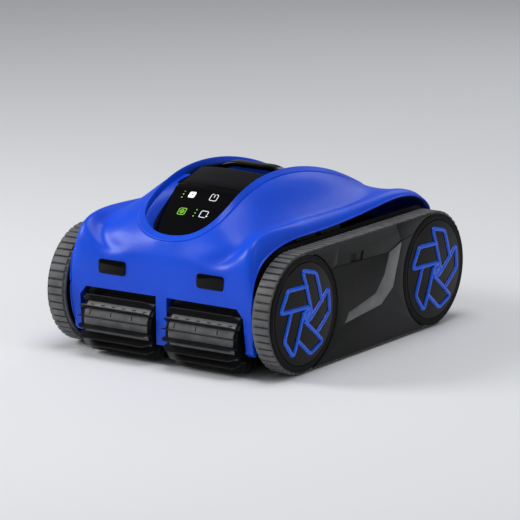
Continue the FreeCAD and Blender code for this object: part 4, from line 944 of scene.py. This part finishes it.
def buildSidePanel(name, side):
    def raised(label, outline, x0, x1, bevel):
        spots = [(midY + y, axleZ + z) for y, z in outline]
        return slab(label, spots, "x", side * x0, side * x1, bevel)

    low, high = sidePlate["low"], sidePlate["high"]
    frontArc, rearArc = wheelArc("front", low, high), wheelArc("rear", low, high)
    base = raised("base", frontArc + rearArc[::-1], panelIn + 0.05, panelIn + sidePlate["baseThick"], 0.2)
    slot = raised("slot", sidePlate["slot"], panelIn + 0.2, panelOut + 1, 0)
    modify(base, "BOOLEAN", object=slot, operation="DIFFERENCE", solver="EXACT")
    settle(base)
    bpy.data.objects.remove(slot)
    split = 44.6
    lowFront = wheelArc("front", low, split)
    lowRear = wheelArc("rear", low, 54.2)
    main = raised("main", lowFront + sidePlate["recessLine"] + lowRear[::-1], panelIn + 0.3, panelOut, 0.45)
    inlay = raised("inlayCut", sidePlate["inlay"], panelOut - 0.7, panelOut + 1, 0)
    modify(main, "BOOLEAN", object=inlay, operation="DIFFERENCE", solver="EXACT")
    settle(main)
    bpy.data.objects.remove(inlay)
    facets = [raised("left", wheelArc("front", split, high) + sidePlate["leftFacet"], panelIn + 0.3,
                     panelOut - 0.35, 0.4),
              raised("right", sidePlate["rightFacet"] + wheelArc("rear", 54.2, high)[::-1],
                     panelIn + 0.3, panelOut - 0.35, 0.4)]
    standFor(joined("side_plate_" + name, [base, main] + facets), paint["satinPanelBlack"],
             "side_panel_" + name)
    # the chevron inlay, light grey: painted highlight for the light its facets catch
    strip = raised("side_chevron_" + name, sidePlate["inlay"], panelOut - 0.75, panelOut - 0.25, 0.2)
    standFor(strip, paint["inlayGreyPaintedHighlight"], "side_inlay_" + name)
    # a dark backing at the foot of the slot: painted shade for the recess
    dark = raised("side_slot_" + name, sidePlate["slotShadeBacking"], panelIn + 0.15, panelIn + 0.35, 0)
    addTo(dark, paint["mouldedHullBlack"], "chassis")


for name, side in sides:
    buildSidePanel(name, side)
print("side panels")

# Roller brushes: rubber sleeve with soft blades, and small slots moulded in it, drawn as dark raised marks
# that are painted shade for their hollows.
roller = {"sleeve": 29.6, "core": 28.05, "tip": 41.4, "foot": 0.75, "end": 0.5, "lean": 0.5,
          "sleeveInset": 6.0, "cornerCut": 7.5, "slotSize": (5.2, 1.2), "slotRows": 6}


def buildBrush(name, side):
    low, high = lowHigh("brush_blades_" + name, 0)
    middle, half = (low + high) / 2, (high - low) / 2
    tip, foot, end = roller["tip"] - roller["sleeve"], roller["foot"], roller["end"]
    lean, cut = roller["lean"], roller["cornerCut"]
    points, faces = [], []
    for share in (0.0, 0.5, 1.0):                  # sections from the root to the tip
        z = -0.6 + (tip + 0.6) * share
        inset = cut * max(0.0, share - 0.5) * 2
        thick = foot + (end - foot) * share
        bend = lean * share * share
        points += [(-half + inset, bend - thick, z), (half - inset, bend - thick, z),
                   (half - inset, bend + thick, z), (-half + inset, bend + thick, z)]
    for index in range(2):
        here, there = index * 4, index * 4 + 4
        faces += [(here + i, here + (i + 1) % 4, there + (i + 1) % 4, there + i) for i in range(4)]
    faces += [(0, 1, 2, 3), (11, 10, 9, 8)]
    shape = cleaned(meshObject("bladeShape", points, faces))
    loop = [Vector((middle, brushY + roller["sleeve"] * math.cos(a), brushZ + roller["sleeve"] * math.sin(a)))
            for a in [math.pi / 2 - 2 * math.pi * k / 72 for k in range(72)]]
    blades = rowsRound("blades", loop, shape, 18, paint["brushRubberGrey"])
    reach = roller["sleeve"]
    first, last = low + roller["sleeveInset"], high - roller["sleeveInset"]
    ring = [(first, roller["core"]), (first, reach - 0.4), (first + 0.4, reach), (last - 0.4, reach),
            (last, reach - 0.4), (last, roller["core"])]
    sleeve = turned("brush_sleeve_" + name, ring, brushY, brushZ, 72)
    addTo(sleeve, paint["coreNylonGrey"], "brush_" + name)
    blades.name = "brush_fins_" + name
    standFor(blades, paint["brushRubberGrey"], "brush_blades_" + name)
    # dark raised marks where the slots are: painted shade for their hollows
    slots = []
    long, wide = roller["slotSize"]
    for gap in range(18):
        angle = math.pi / 2 - 2 * math.pi * (gap + 0.5) / 18
        radial = Vector((0, math.cos(angle), math.sin(angle)))
        around = Vector((0, -math.sin(angle), math.cos(angle)))
        middleSpot = Vector((0, brushY, brushZ)) + radial * (reach - 0.15)
        kinds = {0: "dash", 1: None, 2: "hook"}[gap % 3]
        for row in range(roller["slotRows"]):
            x = first + (last - first) * (row + 0.5) / roller["slotRows"]
            if kinds == "dash" or (kinds == "hook" and row % 2 == 0):
                turn = 0.0 if kinds == "dash" else 1.0
                along = Vector((1, 0, 0)) * (1 - turn) + around * turn
                across = radial.cross(along)
                box = []
                for lift in (0, 0.32):
                    for u, v in ((-1, -1), (1, -1), (1, 1), (-1, 1)):
                        box.append(middleSpot + Vector((x, 0, 0)) + along * (u * long / 2)
                                   + across * (v * wide / 2) + radial * lift)
                sides6 = [(0, 1, 2, 3), (7, 6, 5, 4), (0, 4, 5, 1), (1, 5, 6, 2), (2, 6, 7, 3), (3, 7, 4, 0)]
                slots.append(cleaned(meshObject("slotMark", box, sides6)))
    addTo(joined("brush_slots_" + name, slots), paint["mouldedHullBlack"], "brush_" + name)


for name, side in sides:
    buildBrush(name, side)
    frame["nodes"]["brush_core_" + name].data.materials[0] = paint["mouldedHullBlack"]   # dark ends
print("brushes")

# Carry handle: a flat rounded bar that arches down at both ends into the liner.
handle = {"barLow": 135.2, "barHigh": 142.2, "round": 2.9, "flatHalf": 22, "drop": 8, "steps": 24}


def buildHandle():
    half = lowHigh("carry_handle", 0)[1] - 0.2
    front, back = lowHigh("carry_handle", 1)
    middle = Vector((0, (front + back) / 2, axleZ + (handle["barLow"] + handle["barHigh"]) / 2))
    wide, tall = (back - front) / 2, (handle["barHigh"] - handle["barLow"]) / 2
    section = filleted([(-wide, -tall), (wide, -tall), (wide, tall), (-wide, tall)], handle["round"], 6)
    path = []
    for step in range(handle["steps"] + 1):
        x = half * (2 * step / handle["steps"] - 1)
        past = max(0.0, abs(x) - handle["flatHalf"]) / (half - handle["flatHalf"])
        path.append(middle + Vector((x, 0, -handle["drop"] * past * past)))
    bar = swept("carry_bar", path, [tuple(p) for p in section], lambda p: Vector((0, 0, 1)), False)
    standFor(settle(bar, 40), paint["polishedAbsBlack"], "carry_handle")


buildHandle()
print("handle")


# Floor, light and camera.
studio = {"floorSize": 40, "floorTint": "#f4f5f6", "cameraPlace": (2.4583, -3.5876, 1.0601),
          "cameraTarget": (0.0014, 0.0041, 0.0915), "lens": 250, "sky": "#f6f8ff", "skyLight": 0.22}
lamps = [     # name, place, width, height, watts, tint
    ("keyLeft", (-2.0, -1.4, 1.5), 1.0, 1.0, 38, "#ffffff"),
    ("topSoft", (0.2, -0.2, 2.4), 1.3, 1.3, 24, "#ffffff"),
    ("rightSoft", (2.6, 0.2, 1.6), 0.8, 1.2, 6, "#ffffff"),
    ("rearSoft", (-0.4, 2.4, 1.4), 1.2, 0.8, 5, "#f4f7ff"),
]


def buildStudio():
    size = studio["floorSize"] / 2 / mm
    floor = meshObject("floor", [(-size, -size, 0), (size, -size, 0), (size, size, 0), (-size, size, 0)],
                       [(0, 1, 2, 3)])
    matte = bpy.data.materials.new("paleStudioFloor")          # matt vinyl sweep
    matte.use_nodes = True
    tree = matte.node_tree
    tree.nodes.clear()
    place = addNode(tree, "ShaderNodeTexCoord").outputs["Object"]
    cloud = addNode(tree, "ShaderNodeTexNoise", {}, {"Vector": place, "Scale": 2.0})
    tone = addNode(tree, "ShaderNodeValToRGB", {}, {"Fac": cloud.outputs["Fac"]})
    for stop, shade in zip(tone.color_ramp.elements, ("#f3f4f5", studio["floorTint"])):
        stop.color = linear(shade)
    shader = addNode(tree, "ShaderNodeBsdfPrincipled", {},
                     {"Base Color": tone.outputs["Color"], "Roughness": 0.8})
    addNode(tree, "ShaderNodeOutputMaterial", {}, {"Surface": shader.outputs["BSDF"]})
    floor.data.materials.append(matte)
    sky = bpy.data.worlds.new("studioSky")
    sky.use_nodes = True
    tree = sky.node_tree
    tree.nodes.clear()
    seen = addNode(tree, "ShaderNodeLightPath").outputs["Is Camera Ray"]
    soft = addNode(tree, "ShaderNodeBackground", {},
                   {"Color": linear(studio["sky"]), "Strength": studio["skyLight"]})
    plain = addNode(tree, "ShaderNodeBackground", {}, {"Color": linear("#ffffff"), "Strength": 1.0})
    both = addNode(tree, "ShaderNodeMixShader", {},
                   {0: seen, 1: soft.outputs["Background"], 2: plain.outputs["Background"]})
    addNode(tree, "ShaderNodeOutputWorld", {}, {"Surface": both.outputs["Shader"]})
    scene.world = sky
    aim = Vector((0, 0, 0.09))
    for name, spot, width, height, watts, tint in lamps:
        lamp = bpy.data.lights.new(name, "AREA")
        lamp.shape = "RECTANGLE"
        lamp.size, lamp.size_y, lamp.energy = width, height, watts
        lamp.color = linear(tint)[:3]
        holder = bpy.data.objects.new(name, lamp)
        holder.location = spot
        holder.rotation_euler = (aim - Vector(spot)).to_track_quat("-Z", "Y").to_euler()
        scene.collection.objects.link(holder)
    lens = bpy.data.cameras.new("camera")
    lens.lens, lens.sensor_width = studio["lens"], 36
    lens.clip_end = 100
    camera = bpy.data.objects.new("camera", lens)
    camera.location = studio["cameraPlace"]
    aim = Vector(studio["cameraTarget"]) - Vector(studio["cameraPlace"])
    camera.rotation_euler = aim.to_track_quat("-Z", "Y").to_euler()
    scene.collection.objects.link(camera)
    scene.camera = camera


buildStudio()
print("studio")
